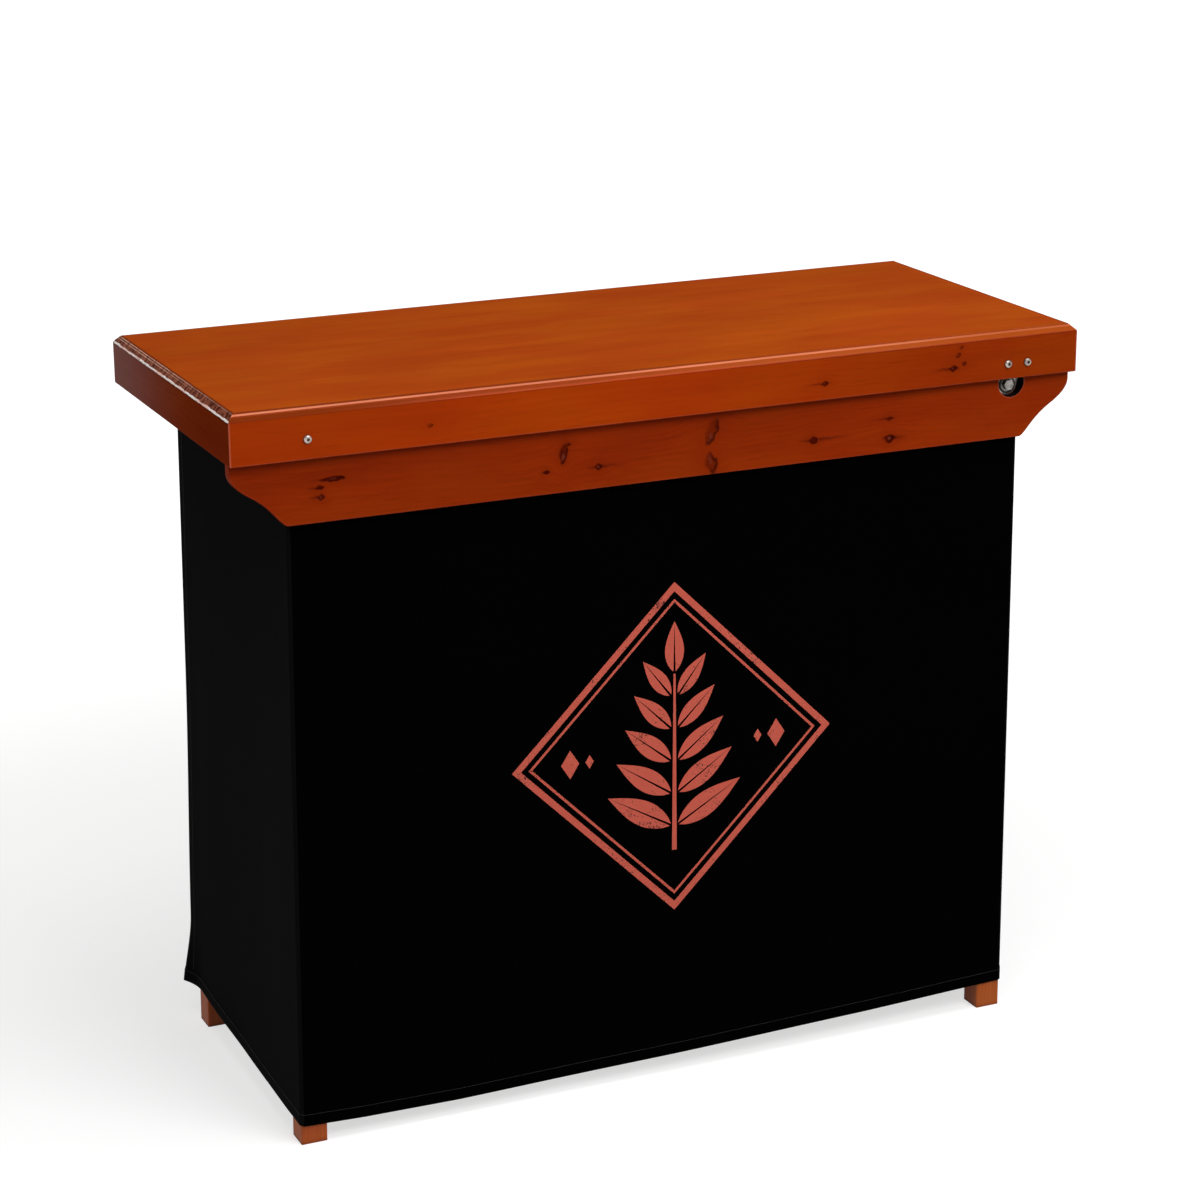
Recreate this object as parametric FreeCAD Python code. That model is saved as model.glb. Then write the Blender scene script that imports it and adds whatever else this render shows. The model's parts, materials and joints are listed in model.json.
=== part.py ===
import FreeCAD, Part
import math
import os

from FreeCAD import Placement, Rotation, Vector

# A portable folding bar in millimetres. X runs along the counter, the guests stand at -Y and Z is up.
# The origin is on the floor under the middle of the counter.

# Counter top: four mitred boards with a chamfered lip round a panel
top_length = 1200.0
top_depth = 500.0
bar_height = 1000.0
skirt_height = 66.0
skirt_thickness = 15.0
edge_chamfer = 8.0
lip_land = 0.6
panel_thickness = 10.0
panel_step = 1.0
panel_ease = 0.8
board_ease = 1.0
block_size = 32.0
fit_gap = 0.2
pick_room = 0.01

# Scrolled front apron, and the plain rail that takes its place behind
apron_thickness = 12.0
apron_drop = 86.0
apron_end_inset = 2.0
apron_toe_inset = 77.0
apron_ease = 1.2
hole_room = 8.0
hole_rise = 4.5
back_rail_lift = 4.0

# The scroll from its upper end to the apron's lower edge, as shares of its run inwards and of its drop
scroll_end_shares = [(0.0, 0.0), (0.0, 0.14)]
scroll_shoulder_shares = [(0.0, 0.14), (0.0, 0.3), (0.204, 0.433), (0.375, 0.523)]
scroll_waist_shares = [(0.375, 0.523), (0.5175, 0.598), (0.66, 0.71), (0.76, 0.81)]
scroll_slope_shares = [(0.76, 0.81), (0.85, 0.9)]
scroll_toe_shares = [(0.85, 0.9), (0.89, 0.94), (0.955, 1.0), (1.0, 1.0)]

# Leg frames: the left one folds up first and the right one folds in under it
leg_size = 36.0
leg_ease = 2.0
leg_side_gap = 0.4
foot_inset = 88.5
left_pivot_inset = 100.0
right_pivot_inset = 92.0
fold_room = 12.0
nest_gap = 4.0
rail_width = 36.0
rail_thickness = 22.0
rail_ease = 2.0
rail_below_stay = 110.0
lower_rail_height = 270.0
rail_screw_spread = 18.0
rail_screw_reach = 40.0

# Steel drop brackets that carry the right frame's lower pivot
bracket_thickness = 3.0
bracket_bolt_rise = 35.0
bracket_bolt_spread = 30.0
bracket_bolt_round = 11.0
bracket_pivot_round = 15.0

# Two-link stays that hold the frames open
stay_reach = 220.0
stay_drop = 150.0
link_width = 16.0
link_thickness = 3.0
side_gap = 0.3
turn_gap = 0.1
flange_thickness = 3.0
flange_width = 24.0
flange_depth = 30.0
flange_screw_share = 0.62
pin_radius = 3.0
pin_head_radius = 5.5
pin_head_height = 1.8
stud_depth = 22.0

# Bolts, nuts and washers
m6_radius = 3.0
m6_across = 10.0
m6_nut_height = 5.0
m6_washer_radius = 6.5
button_radius = 5.5
button_height = 3.3
button_round = 2.6
socket_across = 4.0
socket_depth = 2.0
m8_radius = 4.0
m8_across = 13.0
m8_nut_height = 6.5
m8_head_height = 5.3
m8_washer_radius = 12.0
washer_thickness = 1.6
spacer_radius = 9.0
collar_height = 2.2
collar_share = 0.86
thread_end = 1.0
thread_gap = 0.05

# Wood screws
screw_radius = 2.0
screw_head_radius = 4.0
screw_cover = 3.5
apron_screw_shares = [-0.7, -0.35, 0.0, 0.35, 0.7]
batten_screw_shares = [-0.75, 0.0, 0.75]

# Cloth skirt with its hook tapes and battens
cloth_thickness = 1.0
cloth_gap = 0.6
tape_thickness = 1.2
tape_height = 25.0
tape_length_share = 0.9
side_tape_height = 13.0
front_cloth_drop = 108.0
side_cloth_drop = 13.0
flap_inset = 18.0
hem_left = 25.0
hem_right = 36.0
hem_sag = 9.0
hem_rise = 12.0
cloth_back_inset = 4.0
flare_run = 42.0
flare_height = 150.0
flare_out = 9.0
edge_curl = 0.8
batten_width = 20.0
batten_height = 16.0

# Places worked out from the sizes above
half_length = top_length / 2
half_depth = top_depth / 2
panel_under = bar_height - panel_thickness
skirt_bottom = bar_height - skirt_height
apron_front = half_depth - skirt_thickness
apron_back = apron_front - apron_thickness
bracket_back = apron_back - bracket_thickness
leg_half = leg_size / 2
leg_outer = bracket_back - leg_side_gap
leg_inner = leg_outer - leg_size
lower_link_outer = leg_inner - side_gap
lower_link_inner = lower_link_outer - link_thickness
upper_link_outer = lower_link_inner - side_gap
upper_link_inner = upper_link_outer - link_thickness
left_pivot_drop = panel_thickness + fold_room + leg_half
right_pivot_drop = left_pivot_drop + leg_size + nest_gap
upper_rail_height = bar_height - right_pivot_drop - stay_drop - rail_below_stay
cloth_front = apron_back - tape_thickness
cloth_inner = cloth_front - cloth_thickness
cloth_back = half_depth - cloth_back_inset
front_cloth_top = bar_height - front_cloth_drop
side_cloth_top = bar_height - side_cloth_drop

x_axis = Vector(1, 0, 0)
y_axis = Vector(0, 1, 0)
z_axis = Vector(0, 0, 1)
origin = Vector(0, 0, 0)


class End:
    """One end of the bar: where its leg frame turns, how it leans and how its stays are set out."""

    def __init__(self, name, sign, pivot_inset, pivot_drop):
        self.name = name
        self.sign = sign
        self.pivot = Vector(sign * (half_length - pivot_inset), 0, bar_height - pivot_drop)
        self.lean = math.atan((pivot_inset - foot_inset) / self.pivot.z)
        half_turn = Rotation(z_axis, 180 if sign > 0 else 0)
        leaning = Rotation(y_axis, math.degrees(self.lean))
        self.placement = Placement(self.pivot, half_turn.multiply(leaning))
        self.stay_top = self.pivot - x_axis * (sign * stay_reach)
        self.stay_foot = self.placement.multVec(z_axis * -stay_drop)
        stay = self.stay_foot - self.stay_top
        upper_share = (stay.Length + stay_reach - stay_drop) / (2 * stay.Length)
        self.knee = self.stay_top + stay * upper_share

    def place(self, shape):
        """Move a shape from the frame's own axes, with the pivot at zero, to its place at rest."""
        return shape.transformed(self.placement.toMatrix())

    def outer_face(self, height, out):
        """X of a face parallel to the legs' outer faces, a given distance outside them."""
        reach = abs(self.pivot.x) + (leg_half + out) / math.cos(self.lean)
        return self.sign * (reach + (self.pivot.z - height) * math.tan(self.lean))


left = End("left", -1, left_pivot_inset, left_pivot_drop)
right = End("right", 1, right_pivot_inset, right_pivot_drop)


def box(x0, x1, y0, y1, z0, z1):
    """A block between two limits on each axis."""
    return Part.makeBox(x1 - x0, y1 - y0, z1 - z0, Vector(x0, y0, z0))


def rod(radius, start, along):
    """A round bar from a start point along a vector."""
    return Part.makeCylinder(radius, along.Length, start, along)


def prism(points, along):
    """A straight prism on a closed outline of points."""
    return Part.Face(Part.makePolygon(points + points[:1])).extrude(along)


def line(start, end):
    return Part.LineSegment(start, end).toShape()


def arc(start, middle, end):
    return Part.Arc(start, middle, end).toShape()


def pair(shape):
    """A piece at the front of the bar and its twin at the back, front one first."""
    twins = [shape, shape.mirror(origin, y_axis)]
    return sorted(twins, key=lambda piece: piece.BoundBox.Center.y)


def group(shapes):
    return Part.makeCompound(shapes)


def cut_all(shape, tools):
    """Cut every tool out of a shape."""
    return shape.cut(group(tools)) if tools else shape


def plate(circles, y_from, thickness):
    """A flat plate drawn tightly round circles in the XZ plane, listed anticlockwise."""
    count = len(circles)
    sides = []
    for index in range(count):
        x0, z0, r0 = circles[index]
        x1, z1, r1 = circles[(index + 1) % count]
        heading = math.atan2(z1 - z0, x1 - x0)
        sides.append(heading - math.acos((r0 - r1) / math.hypot(x1 - x0, z1 - z0)))

    def rim(circle, angle):
        x, z, radius = circle
        return Vector(x + radius * math.cos(angle), y_from, z + radius * math.sin(angle))

    edges = []
    for index in range(count):
        circle = circles[index]
        start = sides[index - 1]
        turn = (sides[index] - start) % (2 * math.pi)
        edges.append(arc(rim(circle, start), rim(circle, start + turn / 2), rim(circle, start + turn)))
        following = circles[(index + 1) % count]
        edges.append(line(rim(circle, sides[index]), rim(following, sides[index])))
    return Part.Face(Part.Wire(edges)).extrude(y_axis * thickness)


def hexagon(x, z, across, y_from, length):
    """A six-sided bar along Y."""
    radius = across / math.sqrt(3)
    points = []
    for step in range(6):
        turn = math.radians(60 * step)
        points.append(Vector(x + radius * math.cos(turn), y_from, z + radius * math.sin(turn)))
    return prism(points, y_axis * length)


def bore(x, z, radius):
    """A cutter for a hole right through the front of the bar along Y."""
    return rod(radius, Vector(x, -top_depth, z), y_axis * top_depth)


def both_bores(x, z, radius):
    """A cutter for the same hole at the front and at the back."""
    return rod(radius, Vector(x, -top_depth, z), y_axis * (2 * top_depth))


def ring(x, z, outer, inner, y_from, thickness):
    """A washer or spacer on a bolt along Y."""
    start = Vector(x, y_from, z)
    return rod(outer, start, y_axis * thickness).cut(rod(inner, start, y_axis * thickness))


def lock_nut(x, z, across, height, bolt_radius, y_from):
    """A hexagon nut with a round locking collar on its free side."""
    body = hexagon(x, z, across, y_from, height)
    collar = rod(across * collar_share / 2, Vector(x, y_from + height, z), y_axis * collar_height)
    return body.fuse(collar).cut(bore(x, z, bolt_radius + thread_gap)).removeSplitter()


def button_bolt(x, z, y_end):
    """A button-head bolt with a hexagon socket, its head on the outer face of the front board."""
    seat = Vector(x, -half_depth, z)
    head = rod(button_radius, seat, y_axis * -button_height)
    rim = [edge for edge in head.Edges if math.isclose(edge.BoundBox.YMax, seat.y - button_height)]
    head = head.makeFillet(button_round, rim)
    head = head.cut(hexagon(x, z, socket_across, seat.y - button_height, socket_depth))
    return head.fuse(rod(m6_radius, seat, y_axis * (y_end - seat.y))).removeSplitter()


def wood_screw(head, along, shank=screw_radius, head_radius=screw_head_radius, grow=0.0):
    """A countersunk screw from the middle of its flush head along a vector, or the hole for it."""
    depth = head_radius - shank
    cone = Part.makeCone(head_radius + grow, shank + grow, depth, head, along)
    return cone.fuse(rod(shank + grow, head, along)).removeSplitter()


def skirt_board(run, reach, turn):
    """One mitred board of the counter's frame, made as the front board and then turned into place."""
    top = bar_height - panel_step
    lip = edge_chamfer + lip_land
    section = [
        (board_ease, skirt_bottom),
        (0, skirt_bottom + board_ease),
        (0, top - edge_chamfer),
        (edge_chamfer, top),
        (lip, top),
        (lip, panel_under),
        (skirt_thickness, panel_under),
        (skirt_thickness, skirt_bottom),
    ]
    board = prism([Vector(-run / 2, inward - reach, z) for inward, z in section], x_axis * run)
    inner = run / 2 - skirt_thickness
    back = skirt_thickness - reach
    plan = [(-run / 2, -reach), (run / 2, -reach), (inner, back), (-inner, back)]
    mitred = board.common(prism([Vector(x, y, 0) for x, y in plan], z_axis * bar_height))
    mitred.rotate(origin, z_axis, turn)
    return mitred


def top_panel():
    """The counter panel, a little proud of the lip round it, with eased upper edges."""
    inset = edge_chamfer + lip_land + fit_gap
    x = half_length - inset
    y = half_depth - inset
    panel = box(-x, x, -y, y, panel_under, bar_height)
    upper = [edge for edge in panel.Edges if math.isclose(edge.BoundBox.ZMin, bar_height)]
    return panel.makeFillet(panel_ease, upper)


def corner_blocks():
    """Glued three-cornered blocks inside the counter's frame."""
    x = half_length - skirt_thickness
    plan = [(x, apron_back), (x - block_size, apron_back), (x, apron_back - block_size)]
    bottom = skirt_bottom + back_rail_lift
    block = prism([Vector(px, py, bottom) for px, py in plan], z_axis * (panel_under - bottom))
    right_pair = pair(block)
    return right_pair + [piece.mirror(origin, x_axis) for piece in right_pair]


def scroll_edges(shoulder):
    """The right-hand scroll of the apron, from under the counter's frame to the lower edge."""
    run = apron_toe_inset - apron_end_inset
    outer = half_length - apron_end_inset
    edges = []
    tables = [
        scroll_end_shares,
        scroll_shoulder_shares,
        scroll_waist_shares,
        scroll_slope_shares,
        scroll_toe_shares,
    ]
    for table in tables:
        poles = [Vector(outer - run * x, -apron_front, shoulder - apron_drop * z) for x, z in table]
        curve = Part.BezierCurve()
        curve.setPoles(poles)
        edges.append(curve.toShape())
    return edges


def front_bolt_places():
    """Middles of the bolts that go through the front board: the left pivot, then the right bracket."""
    rise = right.pivot.z + bracket_bolt_rise
    spread = bracket_bolt_spread / 2
    return [
        (left.pivot.x, left.pivot.z),
        (right.pivot.x - spread, rise),
        (right.pivot.x + spread, rise),
    ]


def frame_screws(grow=0.0):
    """Screws that hold the apron and the back rail to the boards outside them."""
    z = (skirt_bottom + panel_under) / 2
    along = y_axis * -(apron_thickness + skirt_thickness - screw_cover + grow)
    heads = [Vector(share * half_length, -apron_back, z) for share in apron_screw_shares]
    return [wood_screw(head, along, grow=grow) for head in heads]


def front_apron():
    """The scrolled apron, shouldered to fit inside the end boards, its sight hole just above the pivot."""
    inner = half_length - skirt_thickness - fit_gap
    shoulder = skirt_bottom - fit_gap
    top = panel_under - fit_gap
    outer = half_length - apron_end_inset
    y = -apron_front
    half = [
        line(Vector(inner, y, top), Vector(inner, y, shoulder)),
        line(Vector(inner, y, shoulder), Vector(outer, y, shoulder)),
    ]
    half += scroll_edges(shoulder)
    toe = half_length - apron_toe_inset
    lower = shoulder - apron_drop
    outline = half + [edge.mirror(origin, x_axis) for edge in half]
    outline.append(line(Vector(-inner, y, top), Vector(inner, y, top)))
    outline.append(line(Vector(-toe, y, lower), Vector(toe, y, lower)))
    board = Part.Face(Part.Wire(Part.__sortEdges__(outline))).extrude(y_axis * apron_thickness)
    eased = [edge for edge in board.Edges if is_scroll_arris(edge, shoulder)]
    board = board.makeFillet(apron_ease, eased)
    tools = [bore(x, z, m6_radius + thread_gap) for x, z in front_bolt_places()]
    tools.append(bore(right.pivot.x, right.pivot.z + hole_rise, m8_washer_radius + hole_room))
    return cut_all(board, tools + frame_screws(thread_gap))


def is_scroll_arris(edge, shoulder):
    """True for an edge round the front or back face of the apron's scrolled part."""
    limits = edge.BoundBox
    below = limits.ZMax < shoulder + pick_room and limits.ZMin < shoulder - pick_room
    return below and limits.YLength < pick_room


def back_rail():
    """A plain rail inside the back board, level with the apron's place in front."""
    x = half_length - skirt_thickness - fit_gap
    rail = box(-x, x, apron_back, apron_front, skirt_bottom + back_rail_lift, panel_under - fit_gap)
    tools = [both_bores(px, pz, m6_radius + thread_gap) for px, pz in front_bolt_places()]
    tools += [piece.mirror(origin, y_axis) for piece in frame_screws(thread_gap)]
    return cut_all(rail, tools)


def pierced_board(turn):
    """The front or back board with its bolt and screw holes."""
    board = skirt_board(top_length, half_depth, turn)
    tools = [both_bores(x, z, m6_radius + thread_gap) for x, z in front_bolt_places()]
    screws = frame_screws(thread_gap)
    if turn:
        screws = [piece.mirror(origin, y_axis) for piece in screws]
    return cut_all(board, tools + screws)


def drop_bracket():
    """The steel plate behind the apron that hangs the right frame's pivot from two bolts."""
    places = front_bolt_places()[1:]
    circles = [(right.pivot.x, right.pivot.z, bracket_pivot_round)]
    circles += [(x, z, bracket_bolt_round) for x, z in reversed(places)]
    body = plate(circles, -apron_back, bracket_thickness)
    tools = [bore(x, z, m6_radius + thread_gap) for x, z in places]
    tools.append(bore(right.pivot.x, right.pivot.z, m8_radius + thread_gap))
    return cut_all(body, tools)


def leg_frame_screws(end, grow=0.0):
    """Screws through one leg of a frame into the ends of its rails, on the frame's own axes."""
    screws = []
    for height in (upper_rail_height, lower_rail_height):
        for offset in (-rail_screw_spread / 2, rail_screw_spread / 2):
            head = Vector(0, -leg_outer, height - end.pivot.z + offset)
            along = y_axis * (leg_size + rail_screw_reach + grow)
            screws.append(wood_screw(head, along, grow=grow))
    return screws


def stay_stud(grow=0.0):
    """The flush screw that the lower link turns on, on the frame's own axes."""
    head = Vector(0, -lower_link_inner, -stay_drop)
    along = y_axis * -(lower_link_outer - lower_link_inner + side_gap + stud_depth + grow)
    return wood_screw(head, along, pin_radius, pin_head_radius, grow)


def leg(end, pivot_radius):
    """One leg on the frame's own axes, round at the pivot and long enough to be cut at the floor."""
    foot = -(end.pivot.z + leg_size)
    y = -leg_outer
    outline = [
        arc(Vector(leg_half, y, 0), Vector(0, y, leg_half), Vector(-leg_half, y, 0)),
        line(Vector(-leg_half, y, 0), Vector(-leg_half, y, foot)),
        line(Vector(-leg_half, y, foot), Vector(leg_half, y, foot)),
        line(Vector(leg_half, y, foot), Vector(leg_half, y, 0)),
    ]
    body = Part.Face(Part.Wire(outline)).extrude(y_axis * leg_size)
    faces = [edge for edge in body.Edges if edge.BoundBox.YLength < pick_room]
    body = body.makeFillet(leg_ease, [edge for edge in faces if edge.BoundBox.ZMax > foot / 2])
    tools = leg_frame_screws(end, thread_gap)
    tools.append(stay_stud(thread_gap))
    tools.append(bore(0, 0, pivot_radius + turn_gap))
    placed = end.place(cut_all(body, tools))
    return placed.cut(box(-top_length, top_length, -top_depth, top_depth, -bar_height, 0))


def frame_rail(end, height):
    """A rail between the two legs of a frame."""
    middle = height - end.pivot.z
    half = rail_thickness / 2
    rail = box(-half, half, -leg_inner, leg_inner, middle - rail_width / 2, middle + rail_width / 2)
    rail = rail.makeFillet(rail_ease, [edge for edge in rail.Edges if edge.BoundBox.YLength > leg_inner])
    tools = []
    for screw in leg_frame_screws(end, thread_gap):
        tools += pair(screw)
    return end.place(cut_all(rail, tools))


def link(start, end, y_outer, holes):
    """A flat stay link between two points at the front of the bar."""
    radius = link_width / 2
    body = plate([(start.x, start.z, radius), (end.x, end.z, radius)], -y_outer, link_thickness)
    return cut_all(body, holes)


def upper_links(end):
    """The links that turn on the brackets under the counter."""
    holes = [
        bore(end.stay_top.x, end.stay_top.z, pin_radius + turn_gap),
        bore(end.knee.x, end.knee.z, pin_radius + thread_gap),
    ]
    return pair(link(end.stay_top, end.knee, upper_link_outer, holes))


def lower_links(end):
    """The links that turn on the legs."""
    stud = end.place(stay_stud(turn_gap))
    if end.sign > 0:
        stud = stud.mirror(origin, y_axis)
    holes = [stud, bore(end.knee.x, end.knee.z, pin_radius + turn_gap)]
    return pair(link(end.knee, end.stay_foot, lower_link_outer, holes))


def headed_pin(point, y_outer):
    """A round pin along Y with its head on the inner side of an upper link."""
    head_from = -upper_link_inner + side_gap
    shank = rod(pin_radius, Vector(point.x, -y_outer, point.z), y_axis * (y_outer + head_from))
    head = rod(pin_head_radius, Vector(point.x, head_from, point.z), y_axis * pin_head_height)
    return shank.fuse(head).removeSplitter()


def stay_flange(end):
    """The angle bracket under the counter that an upper link hangs from."""
    top = end.stay_top
    half = flange_width / 2
    hanging = box(top.x - half, top.x + half, -lower_link_outer, -lower_link_inner, top.z, panel_under)
    hanging = hanging.fuse(rod(half, Vector(top.x, -lower_link_outer, top.z), y_axis * flange_thickness))
    y = flange_depth - lower_link_outer
    under = panel_under - flange_thickness
    seat = box(top.x - half, top.x + half, -lower_link_outer, y, under, panel_under)
    body = hanging.fuse(seat).removeSplitter()
    tools = [bore(top.x, top.z, pin_radius + thread_gap)]
    return cut_all(body, tools + flange_screws(end, thread_gap))


def flange_screws(end, grow=0.0):
    """Screws up through an angle bracket into the counter panel."""
    offset = flange_width / 4
    y = flange_depth * flange_screw_share - lower_link_outer
    along = z_axis * (flange_thickness + panel_thickness - screw_cover + grow)
    z = panel_under - flange_thickness
    heads = [Vector(end.stay_top.x + step, y, z) for step in (-offset, offset)]
    return [wood_screw(head, along, grow=grow) for head in heads]


def batten_inner(end):
    """X of the batten face that the side cloth's tape is fixed to."""
    low = side_cloth_top - side_tape_height
    return end.outer_face(low, cloth_gap + cloth_thickness) + end.sign * tape_thickness


def cloth_batten(end):
    """The batten under the counter, just outside the legs, that carries a side cloth."""
    inner = batten_inner(end)
    sides = sorted([inner, inner + end.sign * batten_width])
    y = apron_back - fit_gap
    batten = box(sides[0], sides[1], -y, y, panel_under - batten_height, panel_under)
    return cut_all(batten, batten_screws(end, thread_gap))


def batten_screws(end, grow=0.0):
    """Screws up through a cloth batten into the counter panel."""
    x = batten_inner(end) + end.sign * batten_width / 2
    bottom = panel_under - batten_height
    along = z_axis * (batten_height + panel_thickness - screw_cover + grow)
    heads = [Vector(x, share * apron_back, bottom) for share in batten_screw_shares]
    return [wood_screw(head, along, grow=grow) for head in heads]


def side_tape(end):
    """The hook tape between a batten and its side cloth."""
    inner = batten_inner(end)
    sides = sorted([inner, inner - end.sign * tape_thickness])
    y = leg_outer - flap_inset
    return box(sides[0], sides[1], -y, y, side_cloth_top - side_tape_height, side_cloth_top)


def front_tape():
    """The hook tape along the back of the apron."""
    x = tape_length_share * abs(left.pivot.x)
    return box(-x, x, -apron_back, -cloth_front, front_cloth_top - tape_height, front_cloth_top)


def front_cloth():
    """The cloth's front panel, spreading with the legs, its lower edge hanging in a shallow curve."""
    out = cloth_gap + cloth_thickness
    y = -cloth_front
    corners = []
    for end, hem in ((left, hem_left), (right, hem_right)):
        upper = Vector(end.outer_face(front_cloth_top, out), y, front_cloth_top)
        corners.append((upper, Vector(end.outer_face(hem, out), y, hem)))
    middle = Vector(0, y, (hem_left + hem_right) / 2 - hem_sag)
    outline = [
        line(corners[0][0], corners[1][0]),
        line(corners[1][0], corners[1][1]),
        arc(corners[1][1], middle, corners[0][1]),
        line(corners[0][1], corners[0][0]),
    ]
    return Part.Face(Part.Wire(outline)).extrude(y_axis * cloth_thickness)


def side_section(end, height, flare):
    """The outline of a side cloth at one height, its back edge curving outwards by the flare."""
    inner = end.outer_face(height, cloth_gap)
    outer = end.outer_face(height, cloth_gap + cloth_thickness)
    start = cloth_back - flare_run
    radius = (flare_run * flare_run + flare * flare) / (2 * flare)
    turn = math.asin(flare_run / radius)

    def curve(extra, angle):
        out = radius - (radius + extra) * math.cos(angle)
        return Vector(outer + end.sign * out, start + (radius + extra) * math.sin(angle), height)

    front_outer = Vector(outer, -cloth_inner, height)
    front_inner = Vector(inner, -cloth_inner, height)
    extra = abs(outer - inner)
    edges = [
        line(front_outer, curve(0, 0)),
        arc(curve(0, 0), curve(0, turn / 2), curve(0, turn)),
        line(curve(0, turn), curve(extra, turn)),
        arc(curve(extra, turn), curve(extra, turn / 2), curve(extra, 0)),
        line(curve(extra, 0), front_inner),
        line(front_inner, front_outer),
    ]
    return Part.Wire(edges)


def side_cloth(end, hem):
    """A side panel of the cloth, flat against the legs, its free back edge flaring out near the floor."""
    sections = [
        side_section(end, side_cloth_top, edge_curl),
        side_section(end, flare_height, edge_curl),
        side_section(end, hem, flare_out),
    ]
    panel = Part.makeLoft(sections, True, True)
    flap = leg_outer - flap_inset
    below = -bar_height
    lower = [(-top_depth, below), (top_depth, below), (half_depth, hem + hem_rise), (-half_depth, hem)]
    tools = [
        prism([Vector(-top_length, y, z) for y, z in lower], x_axis * (2 * top_length)),
        box(-top_length, top_length, -top_depth, -flap, front_cloth_top, bar_height),
        box(-top_length, top_length, flap, top_depth, front_cloth_top, bar_height),
    ]
    return cut_all(panel, tools)


def pivot_stack(end, bolt_radius, across, height, washer_radius):
    """The washer and lock nut on the inner side of a leg, and the bolt end beyond them."""
    x = end.pivot.x
    z = end.pivot.z
    washer_from = -leg_inner + side_gap
    nut_from = washer_from + washer_thickness
    washer = ring(x, z, washer_radius, bolt_radius + thread_gap, washer_from, washer_thickness)
    nut = lock_nut(x, z, across, height, bolt_radius, nut_from)
    return washer, nut, nut_from + height + collar_height + thread_end


def right_pivot_bolt(y_end):
    """The hexagon bolt through a drop bracket and a right leg, its head in the apron's sight hole."""
    seat = -apron_back - washer_thickness
    head = hexagon(right.pivot.x, right.pivot.z, m8_across, seat - m8_head_height, m8_head_height)
    shank = rod(m8_radius, Vector(right.pivot.x, seat, right.pivot.z), y_axis * (y_end - seat))
    return head.fuse(shank).removeSplitter()


def bracket_bolts():
    """Bolts and nuts that hold a drop bracket to the front board."""
    nut_from = -bracket_back
    bolts = []
    nuts = []
    for x, z in front_bolt_places()[1:]:
        bolts += pair(button_bolt(x, z, nut_from + m6_nut_height + thread_end))
        nut = hexagon(x, z, m6_across, nut_from, m6_nut_height).cut(bore(x, z, m6_radius + thread_gap))
        nuts += pair(nut)
    return bolts, nuts


pieces = {}

# The counter's box
pieces["top_panel"] = cut_all(
    top_panel(),
    [
        tool
        for end in (left, right)
        for screw in flange_screws(end, thread_gap)
        for tool in pair(screw)
    ]
    + batten_screws(left, thread_gap)
    + batten_screws(right, thread_gap),
)
pieces["front_skirt"] = pierced_board(0)
pieces["back_skirt"] = pierced_board(180)
pieces["left_end_skirt"] = skirt_board(top_depth, half_length, -90)
pieces["right_end_skirt"] = skirt_board(top_depth, half_length, 90)
pieces["front_apron"] = front_apron()
pieces["back_rail"] = back_rail()
pieces["corner_blocks"] = group(corner_blocks())
pieces["apron_screws"] = group(frame_screws())
pieces["back_rail_screws"] = group([screw.mirror(origin, y_axis) for screw in frame_screws()])

# The left pivots
washer, nut, tip = pivot_stack(left, m6_radius, m6_across, m6_nut_height, m6_washer_radius)
spacer_bore = m6_radius + thread_gap
spacer = ring(left.pivot.x, left.pivot.z, spacer_radius, spacer_bore, -apron_back, bracket_thickness)
pieces["left_pivot_bolts"] = group(pair(button_bolt(left.pivot.x, left.pivot.z, tip)))
pieces["left_pivot_spacers"] = group(pair(spacer))
pieces["left_pivot_washers"] = group(pair(washer))
pieces["left_pivot_nuts"] = group(pair(nut))

# The right pivots on their drop brackets
washer, nut, tip = pivot_stack(right, m8_radius, m8_across, m8_nut_height, m8_washer_radius)
head_from = -apron_back - washer_thickness
head_washer = ring(
    right.pivot.x, right.pivot.z, m8_washer_radius, m8_radius + thread_gap, head_from, washer_thickness
)
bolts, nuts = bracket_bolts()
pieces["right_drop_brackets"] = group(pair(drop_bracket()))
pieces["right_bracket_bolts"] = group(bolts)
pieces["right_bracket_nuts"] = group(nuts)
pieces["right_pivot_bolts"] = group(pair(right_pivot_bolt(tip)))
pieces["right_head_washers"] = group(pair(head_washer))
pieces["right_pivot_washers"] = group(pair(washer))
pieces["right_pivot_nuts"] = group(pair(nut))

# Each end's leg frame, stays, batten, tape and side cloth
for end, pivot_radius, hem in ((left, m6_radius, hem_left), (right, m8_radius, hem_right)):
    front_leg, back_leg = pair(leg(end, pivot_radius))
    pieces[end.name + "_front_leg"] = front_leg
    pieces[end.name + "_back_leg"] = back_leg
    pieces[end.name + "_upper_rail"] = frame_rail(end, upper_rail_height)
    pieces[end.name + "_lower_rail"] = frame_rail(end, lower_rail_height)
    rail_screws = [twin for screw in leg_frame_screws(end) for twin in pair(end.place(screw))]
    pieces[end.name + "_rail_screws"] = group(rail_screws)
    pieces[end.name + "_stay_studs"] = group(pair(end.place(stay_stud())))
    pieces[end.name + "_upper_links"] = group(upper_links(end))
    pieces[end.name + "_knee_pins"] = group(pair(headed_pin(end.knee, upper_link_outer)))
    pieces[end.name + "_lower_links"] = group(lower_links(end))
    pieces[end.name + "_stay_brackets"] = group(pair(stay_flange(end)))
    pieces[end.name + "_bracket_pins"] = group(pair(headed_pin(end.stay_top, lower_link_outer)))
    bracket_screws = [twin for screw in flange_screws(end) for twin in pair(screw)]
    pieces[end.name + "_bracket_screws"] = group(bracket_screws)
    pieces[end.name + "_cloth_batten"] = cloth_batten(end)
    pieces[end.name + "_batten_screws"] = group(batten_screws(end))
    pieces[end.name + "_hook_tape"] = side_tape(end)
    pieces[end.name + "_cloth"] = side_cloth(end, hem)

# The cloth's front
pieces["front_hook_tape"] = front_tape()
pieces["front_cloth"] = front_cloth()

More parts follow.
